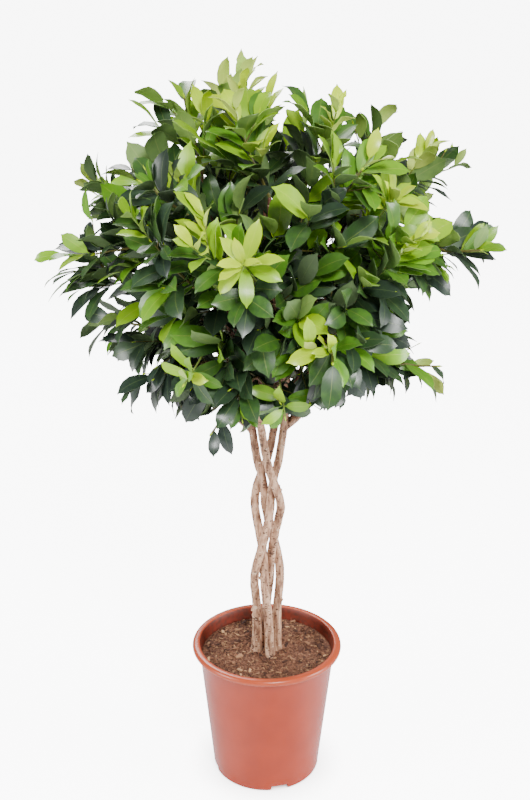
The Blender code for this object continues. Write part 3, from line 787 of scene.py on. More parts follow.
class MeshHeap:
    """Gathers many small shapes into one mesh, with a shade, an age and a leaf map on each."""

    def __init__(self) -> None:
        """Starts an empty heap."""
        self.points: list = []
        self.faces: list = []
        self.slots: list = []
        self.maps: list = []
        self.values: dict[str, list] = {"shade": [], "age": []}
        self.count = 0

    def add(self, points: np.ndarray, faces: list, slot, values: dict, uv: np.ndarray | None = None) -> None:
        """Adds one shape.

        Args:
            points: Its vertices.
            faces: Its faces.
            slot: Its material's place, or one place a face.
            values: Its shade and age, each one number or one a vertex.
            uv: Where each vertex is on the leaf map.
        """
        self.points.append(points)
        self.faces.extend([[i + self.count for i in face] for face in faces])
        self.slots.extend(slot if isinstance(slot, list) else [slot] * len(faces))
        for name, held in self.values.items():
            value = values.get(name, 0.5)
            held.append(np.broadcast_to(np.asarray(value, float), (len(points),)))
        self.maps.append(np.zeros((len(points), 2)) if uv is None else uv)
        self.count += len(points)

    def build(self, name: str, materials: list[bpy.types.Material], angle: float = 50.0) -> bpy.types.Object:
        """Makes the mesh and its object.

        Args:
            name: The object's name.
            materials: Its materials in the order of the slots.
            angle: Edges sharper than this many degrees stay sharp.

        Returns:
            The new object.
        """
        mesh = bpy.data.meshes.new(name)
        mesh.from_pydata(np.concatenate(self.points).tolist(), [], self.faces)
        mesh.polygons.foreach_set("material_index", self.slots)
        for key, held in self.values.items():
            layer = mesh.attributes.new(key, "FLOAT", "POINT")
            layer.data.foreach_set("value", np.concatenate(held).astype(np.float32))
        corners = np.empty(len(mesh.loops), np.int32)
        mesh.loops.foreach_get("vertex_index", corners)
        flat = np.concatenate(self.maps)[corners].astype(np.float32)
        mesh.uv_layers.new(name="leaf").data.foreach_set("uv", flat.ravel())
        held = bpy.data.objects.new(name, mesh)
        bpy.context.scene.collection.objects.link(held)
        for finish in materials:
            mesh.materials.append(finish)
        pick(held)
        bpy.ops.object.shade_smooth_by_angle(angle=math.radians(angle))
        return held


def bowed(start: Vector, leave: Vector, end: Vector, arrive: Vector, count: int) -> list[Vector]:
    """Points of a smooth path that leaves and arrives in the given directions."""
    reach = (end - start).length * 0.38
    a, b = start + leave.normalized() * reach, end - arrive.normalized() * reach
    points = []
    for i in range(count + 1):
        t = i / count
        s = 1.0 - t
        points.append(start * s**3 + a * 3 * s * s * t + b * 3 * s * t * t + end * t**3)
    return points


def facing(azimuth: float, height: float) -> Vector:
    """The unit vector at these angles in degrees."""
    a, e = math.radians(azimuth), math.radians(height)
    return Vector((math.cos(e) * math.cos(a), math.cos(e) * math.sin(a), math.sin(e)))


def envelope(direction: Vector) -> float:
    """How far the crown reaches from its middle in a direction."""
    up = CROWN_UP if direction.z > 0 else CROWN_DOWN
    wide = math.hypot(direction.x, direction.y) / CROWN_WIDE
    ball = (wide**CROWN_POWER + (abs(direction.z) / up) ** CROWN_POWER) ** (-1.0 / CROWN_POWER)
    swell = 0.0
    for azimuth, height, width, gain in LOBES:
        away = math.degrees(direction.angle(facing(azimuth, height))) / width
        swell = max(swell, gain * math.exp(-away * away))
    return ball * (1.0 + swell)


def smoothed(points: list[Vector], step: float) -> list[Vector]:
    """A smooth path through the points, resampled at about one step."""
    found = []
    last = len(points) - 1
    for i in range(last):
        before, a, b, after = points[max(i - 1, 0)], points[i], points[i + 1], points[min(i + 2, last)]
        count = max(1, round((b - a).length / step))
        for k in range(count):
            t = k / count
            found.append(
                0.5 * (2 * a + (b - before) * t + (2 * before - 5 * a + 4 * b - after) * t**2
                       + (3 * a - before - 3 * b + after) * t**3)
            )
    found.append(points[last].copy())
    return found


@dataclass
class Twig:
    """A leafy twig: its path, how thick it is, and how young it is from 0 to 1."""

    path: list[Vector]
    thick: tuple[float, float]
    young: float
    stout: bool = True


@dataclass
class Blade:
    """One leaf: the midrib from root to tip, the direction across it and its greatest half width."""

    rib: list[Vector]
    across: tuple[Vector, Vector]
    half: float
    age: float = 0.2
    solid: bool = False

    def outline(self) -> tuple[list[Vector], list]:
        """A leaf of four triangles, to test what comes near it."""
        root = self.rib[0].lerp(self.rib[1], 0.15)
        a, b = self.across[0] * self.half, self.across[1] * self.half * 0.8
        points = [root, self.rib[1] - a, self.rib[1] + a, self.rib[2] - b, self.rib[2] + b, self.rib[3]]
        return points, [(0, 2, 1), (1, 2, 4), (1, 4, 3), (3, 4, 5)]


class NodeReader:
    """Reads the leaves and the twig of a packed leafy node back from its mesh."""

    thickness = 0.0008
    close = 0.00002

    def __init__(self, name: str) -> None:
        """Welds a copy of the node's vertices.

        Args:
            name: The node.
        """
        self.name = name
        mesh = frame["nodes"][name].data
        points = np.empty(len(mesh.vertices) * 3, np.float32)
        mesh.vertices.foreach_get("co", points)
        points = points.reshape(-1, 3).astype(float)
        _, first, place = np.unique(np.round(points * 1e5), axis=0, return_index=True, return_inverse=True)
        self.points = points[first]
        place = place.reshape(-1)
        ends = {tuple(sorted((place[e.vertices[0]], place[e.vertices[1]]))) for e in mesh.edges}
        self.edges = np.array(sorted(e for e in ends if e[0] != e[1]))
        self.used: set[int] = set()

    def pairs(self) -> tuple[list, dict, list]:
        """The points of the blades' two faces, joined in pairs, and which pairs are neighbours."""
        long = np.linalg.norm(self.points[self.edges[:, 0]] - self.points[self.edges[:, 1]], axis=1)
        owner, middles, members = {}, [], []
        for a, b in self.edges[np.abs(long - self.thickness) < self.close]:
            if a in owner or b in owner:
                continue
            owner[a] = owner[b] = len(middles)
            middles.append(Vector((self.points[a] + self.points[b]) / 2))
            members.append((a, b))
        beside: dict[int, set[int]] = {}
        for a, b in self.edges:
            i, j = owner.get(a), owner.get(b)
            if i is not None and j is not None and i != j:
                beside.setdefault(i, set()).add(j)
                beside.setdefault(j, set()).add(i)
        return middles, beside, members

    def blades(self) -> list[Blade]:
        """Every leaf of the node."""
        middles, beside, members = self.pairs()
        found = []
        for tip, around in sorted(beside.items()):
            if len(around) != 2:
                continue
            left, right = sorted(around)
            if right not in beside[left]:
                continue
            rest = sorted((beside[left] | beside[right]) - {tip, left, right})
            options = [(x, y) for x in rest for y in rest if x != y and y in beside[x]]
            if not options:
                continue

            def strain(option: tuple[int, int]) -> float:
                """How far the wide pair is from the narrow one."""
                return (middles[option[0]] - middles[left]).length + (middles[option[1]] - middles[right]).length

            low_left, low_right = min(options, key=strain)
            wide = middles[low_right] - middles[low_left]
            narrow = middles[right] - middles[left]
            if abs(wide.length / narrow.length - 1.25) > 0.06:
                continue
            for pair in (tip, left, right, low_left, low_right):
                self.used.update(members[pair])
            low = (middles[low_left] + middles[low_right]) / 2
            high = (middles[left] + middles[right]) / 2
            root = low + (low - high) * (0.40 / 0.34)
            across = (wide.normalized(), narrow.normalized())
            found.append(Blade([root, low, high, middles[tip]], across, wide.length / 2, solid=True))
        return found

    def twig(self, carrier: KDTree) -> list[Vector]:
        """The twig's path.

        Args:
            carrier: The points of what the twig grows from.

        Returns:
            Four points, from the twig's start to its end.
        """
        rest = [Vector(p) for i, p in enumerate(self.points) if i not in self.used]
        nearest = sorted(rest, key=lambda p: carrier.find(p)[2])[:4]
        start = sum(nearest, Vector()) / len(nearest)
        far = sorted(rest, key=lambda p: (p - start).length)
        reach = (far[-1] - start).length
        ring = [p for p in far if (p - start).length > reach - 0.0012]
        end = sum(ring, Vector()) / len(ring)
        points = [start]
        for low, high in ((0.30, 0.50), (0.50, 0.75)):
            band = [p for p in far if low * reach < (p - start).length < high * reach]
            if band:
                points.append(sum(band, Vector()) / len(band))
        return points + [end]


@dataclass
class LeafPress:
    """One leaf pattern, drawn once from a flat grid, and pressed onto each blade."""

    outline: tuple = (
        (0.0, 0.035), (0.10, 0.050), (0.20, 0.48), (0.36, 0.86), (0.54, 1.0),
        (0.71, 0.94), (0.84, 0.64), (0.93, 0.20), (1.0, 0.030),
    )
    knots: tuple = (0.0, 0.40, 0.74, 1.0)
    thin: float = 0.00050
    slim: float = 0.96
    stalk: float = 0.0016
    pattern: np.ndarray = field(init=False)
    faces: list = field(init=False)
    slots: list = field(init=False)
    uv: np.ndarray = field(init=False)

    def __post_init__(self) -> None:
        """Draws the pattern: a grid whose rows are set to the outline, then given two faces."""
        rows = len(self.outline)
        pick_none()
        bpy.ops.mesh.primitive_grid_add(x_subdivisions=4, y_subdivisions=rows - 1, size=2.0)
        held = bpy.context.object
        mesh = held.data
        levels = sorted({round(v.co.y, 4) for v in mesh.vertices})
        row_of = [levels.index(round(v.co.y, 4)) for v in mesh.vertices]
        for row, (along, half) in enumerate(self.outline):
            choose(held, [i for i, own in enumerate(row_of) if own == row])
            bpy.ops.transform.translate(value=(0.0, along - levels[row], 0.0))
            bpy.ops.transform.resize(value=(half, 1.0, 1.0), center_override=(0.0, 0.0, 0.0))
            bpy.ops.object.mode_set(mode="OBJECT")
        skin = held.modifiers.new("skin", "SOLIDIFY")
        skin.thickness = 1.0
        skin.offset = 0.0
        skin.use_even_offset = False
        apply_all(held)
        mesh = held.data
        self.pattern = np.array([v.co for v in mesh.vertices])
        self.faces = [list(p.vertices) for p in mesh.polygons]
        self.slots = [0 if p.normal.z > 0.5 else 1 for p in mesh.polygons]
        alongs = np.array([along for along, _ in self.outline])
        halves = np.array([half for _, half in self.outline])
        half_there = np.interp(self.pattern[:, 1], alongs, halves)
        self.uv = np.stack([0.5 + 0.5 * self.pattern[:, 0] / half_there, self.pattern[:, 1]], axis=1)
        bpy.data.objects.remove(held, do_unlink=True)

    def basis(self, u: np.ndarray) -> tuple[np.ndarray, np.ndarray]:
        """The weights of the midrib's four points at each share of the length, and their slopes."""
        weights, slopes = [], []
        for i, knot in enumerate(self.knots):
            others = [k for k in self.knots if k != knot]
            scale = math.prod(knot - k for k in others)
            a, b, c = others
            weights.append((u - a) * (u - b) * (u - c) / scale)
            slopes.append(((u - b) * (u - c) + (u - a) * (u - c) + (u - a) * (u - b)) / scale)
        return np.stack(weights, axis=1), np.stack(slopes, axis=1)

    def press(self, blade: Blade, heap: MeshHeap, rng: random.Random, first_slot: int = 0) -> None:
        """Bends the pattern onto a blade and adds it to a heap.

        Args:
            blade: Where the leaf is.
            heap: The mesh it joins.
            rng: Draws its fold, its waves and its shade.
            first_slot: The place of the upper face's material.
        """
        u, x, z = self.pattern[:, 1], self.pattern[:, 0], self.pattern[:, 2]
        weights, slopes = self.basis(u)
        rib = np.array([tuple(p) for p in blade.rib])
        middle, tangent = weights @ rib, slopes @ rib
        share = np.clip((u - 0.40) / 0.34, 0.0, 1.0)[:, None]
        across = np.array(blade.across[0]) * (1 - share) + np.array(blade.across[1]) * share
        normal = np.cross(across, tangent)
        normal /= np.linalg.norm(normal, axis=1)[:, None]
        outward = Vector(middle.mean(axis=0)) - CROWN
        wanted = outward.normalized() * 0.75 + UP * 0.65
        if Vector(normal[len(normal) // 2]).dot(wanted) < 0:
            across, normal = -across, -normal
        fold = rng.uniform(0.02, 0.22)
        wave, turns, phase = rng.uniform(0.0, 0.0022), rng.uniform(1.2, 2.4), rng.uniform(0, 2 * math.pi)
        lift = fold * np.abs(x) ** 1.35 * blade.half
        lift += wave * np.abs(x) * np.sin(2 * math.pi * turns * u + phase + (x > 0) * 1.3)
        thick = np.where(u < 0.20, self.stalk, self.thin)
        half = blade.half * (self.slim if blade.solid else 1.0)
        points = middle + across * (x * half)[:, None] + normal * (lift + z * thick)[:, None]
        shade = min(1.0, max(0.0, rng.gauss(0.5, 0.22)))
        heap.add(points, self.faces, [s + first_slot for s in self.slots], {"shade": shade, "age": blade.age}, self.uv)


class Canopy:
    """Where the leaves are, so that none is grown through another."""

    cell = 0.10

    def __init__(self) -> None:
        """Starts with no leaf."""
        self.cells: dict[tuple, list] = {}

    def key(self, point: Vector) -> tuple[int, int, int]:
        """The cell a point is in."""
        return tuple(math.floor(c / self.cell) for c in point)

    def add(self, blade: Blade) -> None:
        """Holds a leaf's place."""
        tree = BVHTree.FromPolygons(*blade.outline())
        self.cells.setdefault(self.key(blade.rib[1]), []).append((blade.rib[1].copy(), tree))

    def clear(self, blade: Blade) -> bool:
        """Whether a leaf crosses no other."""
        x, y, z = self.key(blade.rib[1])
        tree = None
        for i in (x - 1, x, x + 1):
            for j in (y - 1, y, y + 1):
                for k in (z - 1, z, z + 1):
                    for middle, other in self.cells.get((i, j, k), ()):
                        if (middle - blade.rib[1]).length > 0.11:
                            continue
                        tree = tree or BVHTree.FromPolygons(*blade.outline())
                        if tree.overlap(other):
                            return False
        return True


@dataclass
class Sprig:
    """A leafy piece of the crown: its twigs and its leaves, which become one object."""

    name: str
    twigs: list[Twig] = field(default_factory=list)
    blades: list[Blade] = field(default_factory=list)

    def trim(self, spare: float = 0.007) -> None:
        """Ends the first twig a little beyond its last leaf."""
        fine = smoothed(self.twigs[0].path, 0.004)
        last = 2
        for blade in self.blades:
            near = min(range(len(fine)), key=lambda i: (fine[i] - blade.rib[0]).length)
            if (fine[near] - blade.rib[0]).length < 0.004:
                last = max(last, near)
        self.twigs[0].path = fine[: last + 1 + round(spare / 0.004)]

    def build(self, press: LeafPress, finishes: list[bpy.types.Material], seed: int) -> bpy.types.Object:
        """Draws the twigs, the buds and the leaves.

        Args:
            press: The leaf pattern.
            finishes: The upper face, the under face and the twig.
            seed: The seed of its draws.

        Returns:
            The object.
        """
        rng = random.Random(seed)
        heap = MeshHeap()
        for twig in self.twigs:
            path = smoothed(twig.path, 0.012)
            first, last = twig.thick
            radii = [first + (last - first) * k / (len(path) - 1) for k in range(len(path))]
            points, faces = tube_mesh(path, radii, 6 if twig.stout else 4)
            heap.add(points, faces, 2, {"age": 0.35 + 0.5 * twig.young})
            heading = (path[-1] - path[-2]).normalized()
            long = rng.uniform(0.006, 0.011)
            bud = [path[-1] - heading * 0.001, path[-1] + heading * long * 0.4, path[-1] + heading * long]
            if all(CAD_BOX[0][i] < bud[2][i] < CAD_BOX[1][i] for i in range(3)):
                points, faces = tube_mesh(bud, [last * 1.0, last * 1.35, last * 0.12], 5)
                heap.add(points, faces, 0, {"age": 0.95, "shade": 0.6})
        for blade in self.blades:
            press.press(blade, heap, rng)
        return heap.build(self.name, finishes)


@dataclass
class Crown:
    """The rules of growth: how far leaves reach, how they stand on a twig and how young each is."""

    margin: float = 0.0030
    reach: float = 0.95
    low_reach: float = 0.09
    long: tuple = (0.070, 0.096)
    young_long: tuple = (0.052, 0.078)
    slender: tuple = (0.195, 0.230)
    tries: int = 10
    canopy: Canopy = field(default_factory=Canopy)

    def inside(self, point: Vector) -> bool:
        """Whether a point is in the crown and in the solids' box."""
        low, high = CAD_BOX
        if not all(low[i] + self.margin < point[i] < high[i] - self.margin for i in range(3)):
            return False
        if point.z < CROWN_FLOOR:
            return False
        out = point - CROWN
        way = out.normalized()
        return out.length < (self.reach - self.low_reach * max(0.0, -way.z)) * envelope(way)

    def grow_leaf(
        self,
        root: Vector,
        heading: Vector,
        spin: float,
        young: float,
        rng: random.Random,
        tip: bool,
        spread: tuple[float, float] | None = None,
    ) -> Blade | None:
        """One leaf at a place on a twig, turned until it crosses nothing.

        Args:
            root: Where it grows.
            heading: The twig's direction there.
            spin: The angle round the twig in degrees.
            young: From 0, hardened, to 1, just opened.
            rng: Draws its turn and size.
            tip: Whether it goes on from the twig's end.
            spread: The range of angles in degrees that it opens from the twig, or None for the usual ones.

        Returns:
            The leaf, or None where there is no room.
        """
        outward = (root - CROWN).normalized()
        low = root.z < CROWN.z - 0.12
        for attempt in range(self.tries):
            wild = attempt / self.tries
            across = heading.orthogonal().normalized()
            across.rotate(Matrix.Rotation(math.radians(spin + rng.uniform(-25, 25) * (1 + 4 * wild)), 3, heading))
            inward = across.dot(outward)
            if inward < 0.0:
                across = (across - outward * 1.4 * inward).normalized()
            opens = rng.uniform(30, 52) if young > 0.6 else rng.uniform(42, 64)
            if tip:
                opens = rng.uniform(4, 14 + 40 * wild)
            if spread:
                opens = rng.uniform(*spread)
            a = math.radians(opens)
            along = heading * math.cos(a) + across * math.sin(a) + outward * 0.25
            along.z += 0.22 if young > 0.6 else (-0.45 if low else -0.02)
            along.normalize()
            up = outward * 0.75 + UP * 0.65 + heading * 0.25
            up += Vector([rng.uniform(-0.35, 0.35) for _ in range(3)]) * (1 + wild)
            side = along.cross(up).normalized()
            up = side.cross(along).normalized()
            long = rng.uniform(*(self.young_long if young > 0.6 else self.long)) * (1.0 - 0.35 * wild)
            droop = rng.uniform(0.04, 0.24)
            rib = [root.copy()]
            for share in (0.40, 0.74):
                rib.append(root + along * long * share + up * (long * (0.05 - droop * share * share)))
            rib.append(root + along * long * (1.0 - 0.3 * droop) + up * (-droop * long))
            narrow = 0.82 if young > 0.6 else 1.0
            blade = Blade(rib, (side, side), long * rng.uniform(*self.slender) * narrow)
            if all(self.inside(p) for p in blade.outline()[0]) and self.canopy.clear(blade):
                blade.age = self.age_of(blade, young, rng)
                self.canopy.add(blade)
                return blade
        return None

    def age_of(self, blade: Blade, young: float, rng: random.Random) -> float:
        """How young a leaf looks: by its twig, and paler where the crown is lit."""
        middle = blade.rib[1].lerp(blade.rib[2], 0.5)
        out = middle - CROWN
        outer = min(1.0, out.length / envelope(out.normalized()))
        lit = out.normalized().dot(Vector((0.35, -0.30, 0.90)).normalized())
        age = 0.10 + 0.50 * young + 0.10 * lit * outer + rng.gauss(0, 0.09)
        if outer > 0.55:
            young_here = 0.0
            for azimuth, height, width, gain in YOUNG_CLUSTERS:
                away = math.degrees(out.angle(facing(azimuth, height))) / width
                young_here = max(young_here, gain * math.exp(-away * away))
            if outer > 0.75 and out.z > 0.70 * out.length:
                young_here = max(young_here, rng.uniform(0.10, 0.55))
            behind = max(0.0, noise.noise(middle * 8.0) - 0.15) if middle.y > 0.0 else 0.0
            age += young_here * rng.uniform(0.6, 1.2) + behind * 1.6
        return min(1.0, max(0.0, age))

    def dress(self, twig: Twig, count: int, rng: random.Random, tip: bool = True, first: float = 0.2) -> list[Blade]:
        """Leaves along a twig.

        Args:
            twig: The twig.
            count: How many leaves are tried.
            rng: Draws their places.
            tip: Whether one goes on from the end.
            first: The share of the twig that stays bare at its start.

        Returns:
            The leaves that found room.
        """
        found, spin = [], rng.uniform(0, 360)
        last = len(twig.path) - 1
        for i in range(count):
            share = first + (0.97 - first) * (i + rng.uniform(0.2, 0.8)) / count
            spot = share * last
            k = min(int(spot), last - 1)
            root = twig.path[k].lerp(twig.path[k + 1], spot - k)
            heading = (twig.path[k + 1] - twig.path[k]).normalized()
            spin += GOLDEN_TURN
            young = min(1.0, twig.young + 0.25 * share * (twig.young > 0.3))
            found.append(self.grow_leaf(root, heading, spin, young, rng, False))
        if tip:
            heading = (twig.path[-1] - twig.path[-2]).normalized()
            found.append(self.grow_leaf(twig.path[-1], heading, 0.0, min(1.0, twig.young + 0.3), rng, True))
        return [blade for blade in found if blade]

    def rosette(self, azimuth: float, height: float, boughs: list[Vector], rng: random.Random) -> Sprig:
        """A shoot that comes straight out of the crown, with a whorl of young leaves round its tip.

        Args:
            azimuth: The shoot's direction in degrees.
            height: Its angle above the horizon.
            boughs: Points of the boughs, one of which it leaves from.
            rng: Draws the leaves.

        Returns:
            The shoot and its leaves.
        """
        way = facing(azimuth, height)
        end = CROWN + way * envelope(way) * 0.87
        start = min(boughs, key=lambda p: (p - (end - way * 0.13)).length)
        twig = Twig(bowed(start, way, end, way, 6), (0.0024, 0.0012), 0.85)
        blades = []
        for i in range(16):
            root = end - way * (0.0022 * i)
            opens = (20.0 + 5.0 * i, 32.0 + 5.0 * i)
            blades.append(self.grow_leaf(root, way, GOLDEN_TURN * i, max(0.62, 0.95 - 0.03 * i), rng, False, opens))
        return Sprig(f"rosette_{azimuth:.0f}", [twig], [blade for blade in blades if blade])

    def side_twig(self, start: Vector, heading: Vector, long: float, spin: float, young: float, rng: random.Random):
        """A side twig that leaves a twig or bough and turns outwards.

        Args:
            start: Where it leaves.
            heading: The carrier's direction there.
            long: Its length.
            spin: The angle round the carrier in degrees.
            young: How young its leaves are.
            rng: Draws its bends.

        Returns:
            The twig, or None if it would leave the crown.
        """
        outward = (start - CROWN).normalized()
        for attempt in range(6):
            across = heading.orthogonal().normalized()
            across.rotate(Matrix.Rotation(math.radians(spin + 50 * attempt), 3, heading))
            aim = (heading * 0.6 + across * 0.9 + outward * 0.35).normalized()
            bend = Vector((0.0, 0.0, 0.30 if start.z > CROWN.z - 0.1 else -0.15))
            end = start + (aim + bend * 0.5).normalized() * long * (1 - 0.1 * attempt)
            if self.inside(end + aim * 0.02):
                path = bowed(start, aim, end, (aim + bend).normalized(), 5)
                return Twig(path, (0.0014, 0.0008), young)
        return None


@dataclass
class BraidedTrunk:
    """Four stems that wind both ways round one axis and branch inside the crown."""

    soil_z: float = 0.250
    hole_deep: float = 0.060
    gap: float = 0.0004
    braid_r: float = 0.0195
    weave: float = 0.0098
    steps_z: tuple = (0.366, 0.538, 0.662, 0.735)
    braid_points: int = 13
    stem_r: float = 0.0086
    flare: float = 0.0112
    slim_from: float = 0.45
    slim_rate: float = 0.0048
    tip_share: float = 0.53
    top_share: float = 0.86
    top_height: float = 64.0
    top_arrive: float = 74.0
    leader_points: int = 9
    boughs: int = 28
    bough_low: float = -0.64
    bough_high: float = 0.80
    voxel: float = 0.0018
    stubs: int = 3
    # start and foot angles, the way it turns, and the quarter of the crown it carries
    stems: tuple = (
        ("stem_1", 180.0, 1, 184.0, 0.0),
        ("stem_2", 270.0, -1, 291.0, 90.0),
        ("stem_3", 90.0, -1, 97.0, 270.0),
        ("stem_4", 0.0, 1, 9.0, 180.0),
    )

    def turn_at(self, z: float) -> float:
        """How many quarter turns the braid has made at a height."""
        marks = self.steps_z
        if z <= marks[0]:
            return 0.0
        for i in range(len(marks) - 1):
            if z <= marks[i + 1]:
                return i + (z - marks[i]) / (marks[i + 1] - marks[i])
        return len(marks) - 1.0

    def on_braid(self, start: float, turn: int, foot: float, z: float) -> Vector:
        """Where a stem's middle is at a height."""
        t = self.turn_at(z)
        angle = start + turn * 90.0 * t
        if z < self.steps_z[0]:
            share = min(1.0, (self.steps_z[0] - z) / (self.steps_z[0] - self.soil_z))
            angle += (foot - start) * share**0.8
        r = self.braid_r + turn * self.weave * math.sin(math.pi * t)
        a = math.radians(angle)
        return Vector((r * math.cos(a), r * math.sin(a), z))

    def bough_angles(self, sector: float) -> list[tuple[float, float]]:
        """The azimuth and height of the boughs in a stem's quarter: a spiral, turned to the lobes."""
        ways = []
        for i in range(self.boughs):
            rise = self.bough_low + (self.bough_high - self.bough_low) * (i + 0.5) / self.boughs
            ways.append(((20.0 + GOLDEN_TURN * i) % 360.0, math.degrees(math.asin(rise))))
        for azimuth, height, _, _ in LOBES:
            if height < self.top_height:
                lobe = facing(azimuth, height)
                nearest = max(range(self.boughs), key=lambda i: facing(*ways[i]).dot(lobe))
                ways[nearest] = (azimuth, height)
        return [way for way in ways if abs((way[0] - sector + 180.0) % 360.0 - 180.0) <= 45.0]

    def leader(self, stem: tuple) -> tuple[list[Vector], list[float], int]:
        """A stem's own path and radii, and where on it the crown begins."""
        _, start, turn, foot, sector = stem
        heights = [self.soil_z - self.hole_deep + self.gap, self.soil_z + 0.004]
        rise = self.steps_z[2] - heights[1]
        heights += [heights[1] + rise * (i + 1) / self.braid_points for i in range(self.braid_points)]
        points = [self.on_braid(start, turn, foot, z) for z in heights]
        points[0] = Vector((points[1].x, points[1].y, points[0].z))
        radii = []
        for z in heights:
            share = max(0.0, min(1.0, (z - self.soil_z) / 0.09))
            slim = max(0.0, z - self.slim_from) * self.slim_rate
            radii.append(self.flare + (self.stem_r - self.flare) * share**0.6 - slim)
        top = CROWN + facing(sector + 4, self.top_height) * self.tip_share * CROWN_UP * self.top_share
        leave = (points[-1] - points[-2]).normalized() + Vector((0.0, 0.0, 0.4))
        upper = bowed(points[-1], leave, top, facing(sector, self.top_arrive), self.leader_points)[1:]
        first = len(points)
        last_r = radii[-1]
        radii += [last_r + (0.0030 - last_r) * (i + 1) / len(upper) for i in range(len(upper))]
        return points + upper, radii, first

    def limb(self, points: list[Vector], radii: list[float], step: float) -> bpy.types.Object:
        """A round limb along a smooth path, drawn as a bevelled curve and made a mesh."""
        path = smoothed(points, step)
        share = np.linspace(0, 1, len(path))
        sizes = np.interp(share, np.linspace(0, 1, len(radii)), radii)
        pick_none()
        bpy.ops.curve.primitive_nurbs_path_add()
        held = bpy.context.object
        curve = held.data
        curve.splines.clear()
        curve.bevel_depth = 1.0
        curve.bevel_resolution = 5
        curve.use_fill_caps = True
        spline = curve.splines.new("POLY")
        spline.points.add(len(path) - 1)
        for spot, point, size in zip(spline.points, path, sizes):
            spot.co = (*point, 1.0)
            spot.radius = float(size)
        bpy.ops.object.convert(target="MESH")
        return bpy.context.object

    def build_stem(self, stem: tuple, ends: list, finish: bpy.types.Material) -> tuple[bpy.types.Object, list]:
        """A stem with its boughs and roots, fused and given a bark's relief.

        Args:
            stem: The stem's facts.
            ends: Where its boughs end, each with its direction.
            finish: The bark.

        Returns:
            The stem, and each bough's path.
        """
        name, sector = stem[0], stem[4]
        points, radii, first = self.leader(stem)
        limbs = [self.limb(points, radii, 0.009)]
        paths = []
        for (azimuth, height), (end, arrive) in zip(self.bough_angles(sector), ends[1:]):
            fork = first + min(5, max(0, round(2.2 + height / 16)))
            leave = facing(azimuth, 38 if height < 0 else 50)
            path = bowed(points[fork], leave, end, arrive, 8)
            thick = min(radii[fork] * 0.78, 0.0058)
            collar = [radii[fork] * 0.92, thick * 1.04]
            sizes = collar + [thick + (0.0026 - thick) * k / 8 for k in range(2, 9)]
            limbs.append(self.limb(path, sizes, 0.009))
            paths.append(path)
        foot = points[1]
        rng = random.Random(round(sector) + 5)
        for k in range(3):
            out = math.degrees(math.atan2(foot.y, foot.x)) + (k - 1) * 48 + rng.uniform(-12, 12)
            start = foot + Vector((0, 0, rng.uniform(0.004, 0.018)))
            end = foot + facing(out, 0.0) * rng.uniform(0.010, 0.016) - Vector((0.0, 0.0, 0.006))
            limbs.append(self.limb(bowed(start, facing(out, -20), end, facing(out, -60), 4), [0.0052, 0.0040, 0.0022], 0.004))
        for k in range(self.stubs):
            place = 3 + (k * 5 + round(sector) // 30) % (self.braid_points - 3)
            out = math.degrees(math.atan2(points[place].y, points[place].x)) + rng.uniform(-50, 50)
            start = points[place] + (points[place + 1] - points[place]) * rng.random()
            end = start + facing(out, rng.uniform(10, 45)) * (radii[place] + rng.uniform(0.002, 0.005))
            limbs.append(self.limb([start, start.lerp(end, 0.5), end], [0.0042, 0.0040, 0.0030], 0.004))
        pick_none()
        for held in limbs:
            held.select_set(True)
        bpy.context.view_layer.objects.active = limbs[0]
        bpy.ops.object.join()
        body = bpy.context.object
        fuse = body.modifiers.new("fuse", "REMESH")
        fuse.mode = "VOXEL"
        fuse.voxel_size = self.voxel
        round_off = body.modifiers.new("round_off", "SMOOTH")
        round_off.factor = 0.5
        round_off.iterations = 4
        for size, strength in ((0.016, 0.0016), (0.005, 0.0007)):
            lumps = bpy.data.textures.new("bark_relief", "CLOUDS")
            lumps.noise_scale = size
            relief = body.modifiers.new("relief", "DISPLACE")
            relief.texture = lumps
            relief.texture_coords = "LOCAL"
            relief.strength = strength
            relief.mid_level = 0.5
        apply_all(body)
        bpy.ops.object.shade_smooth()
        return named(body, f"braided_{name}", [finish]), paths


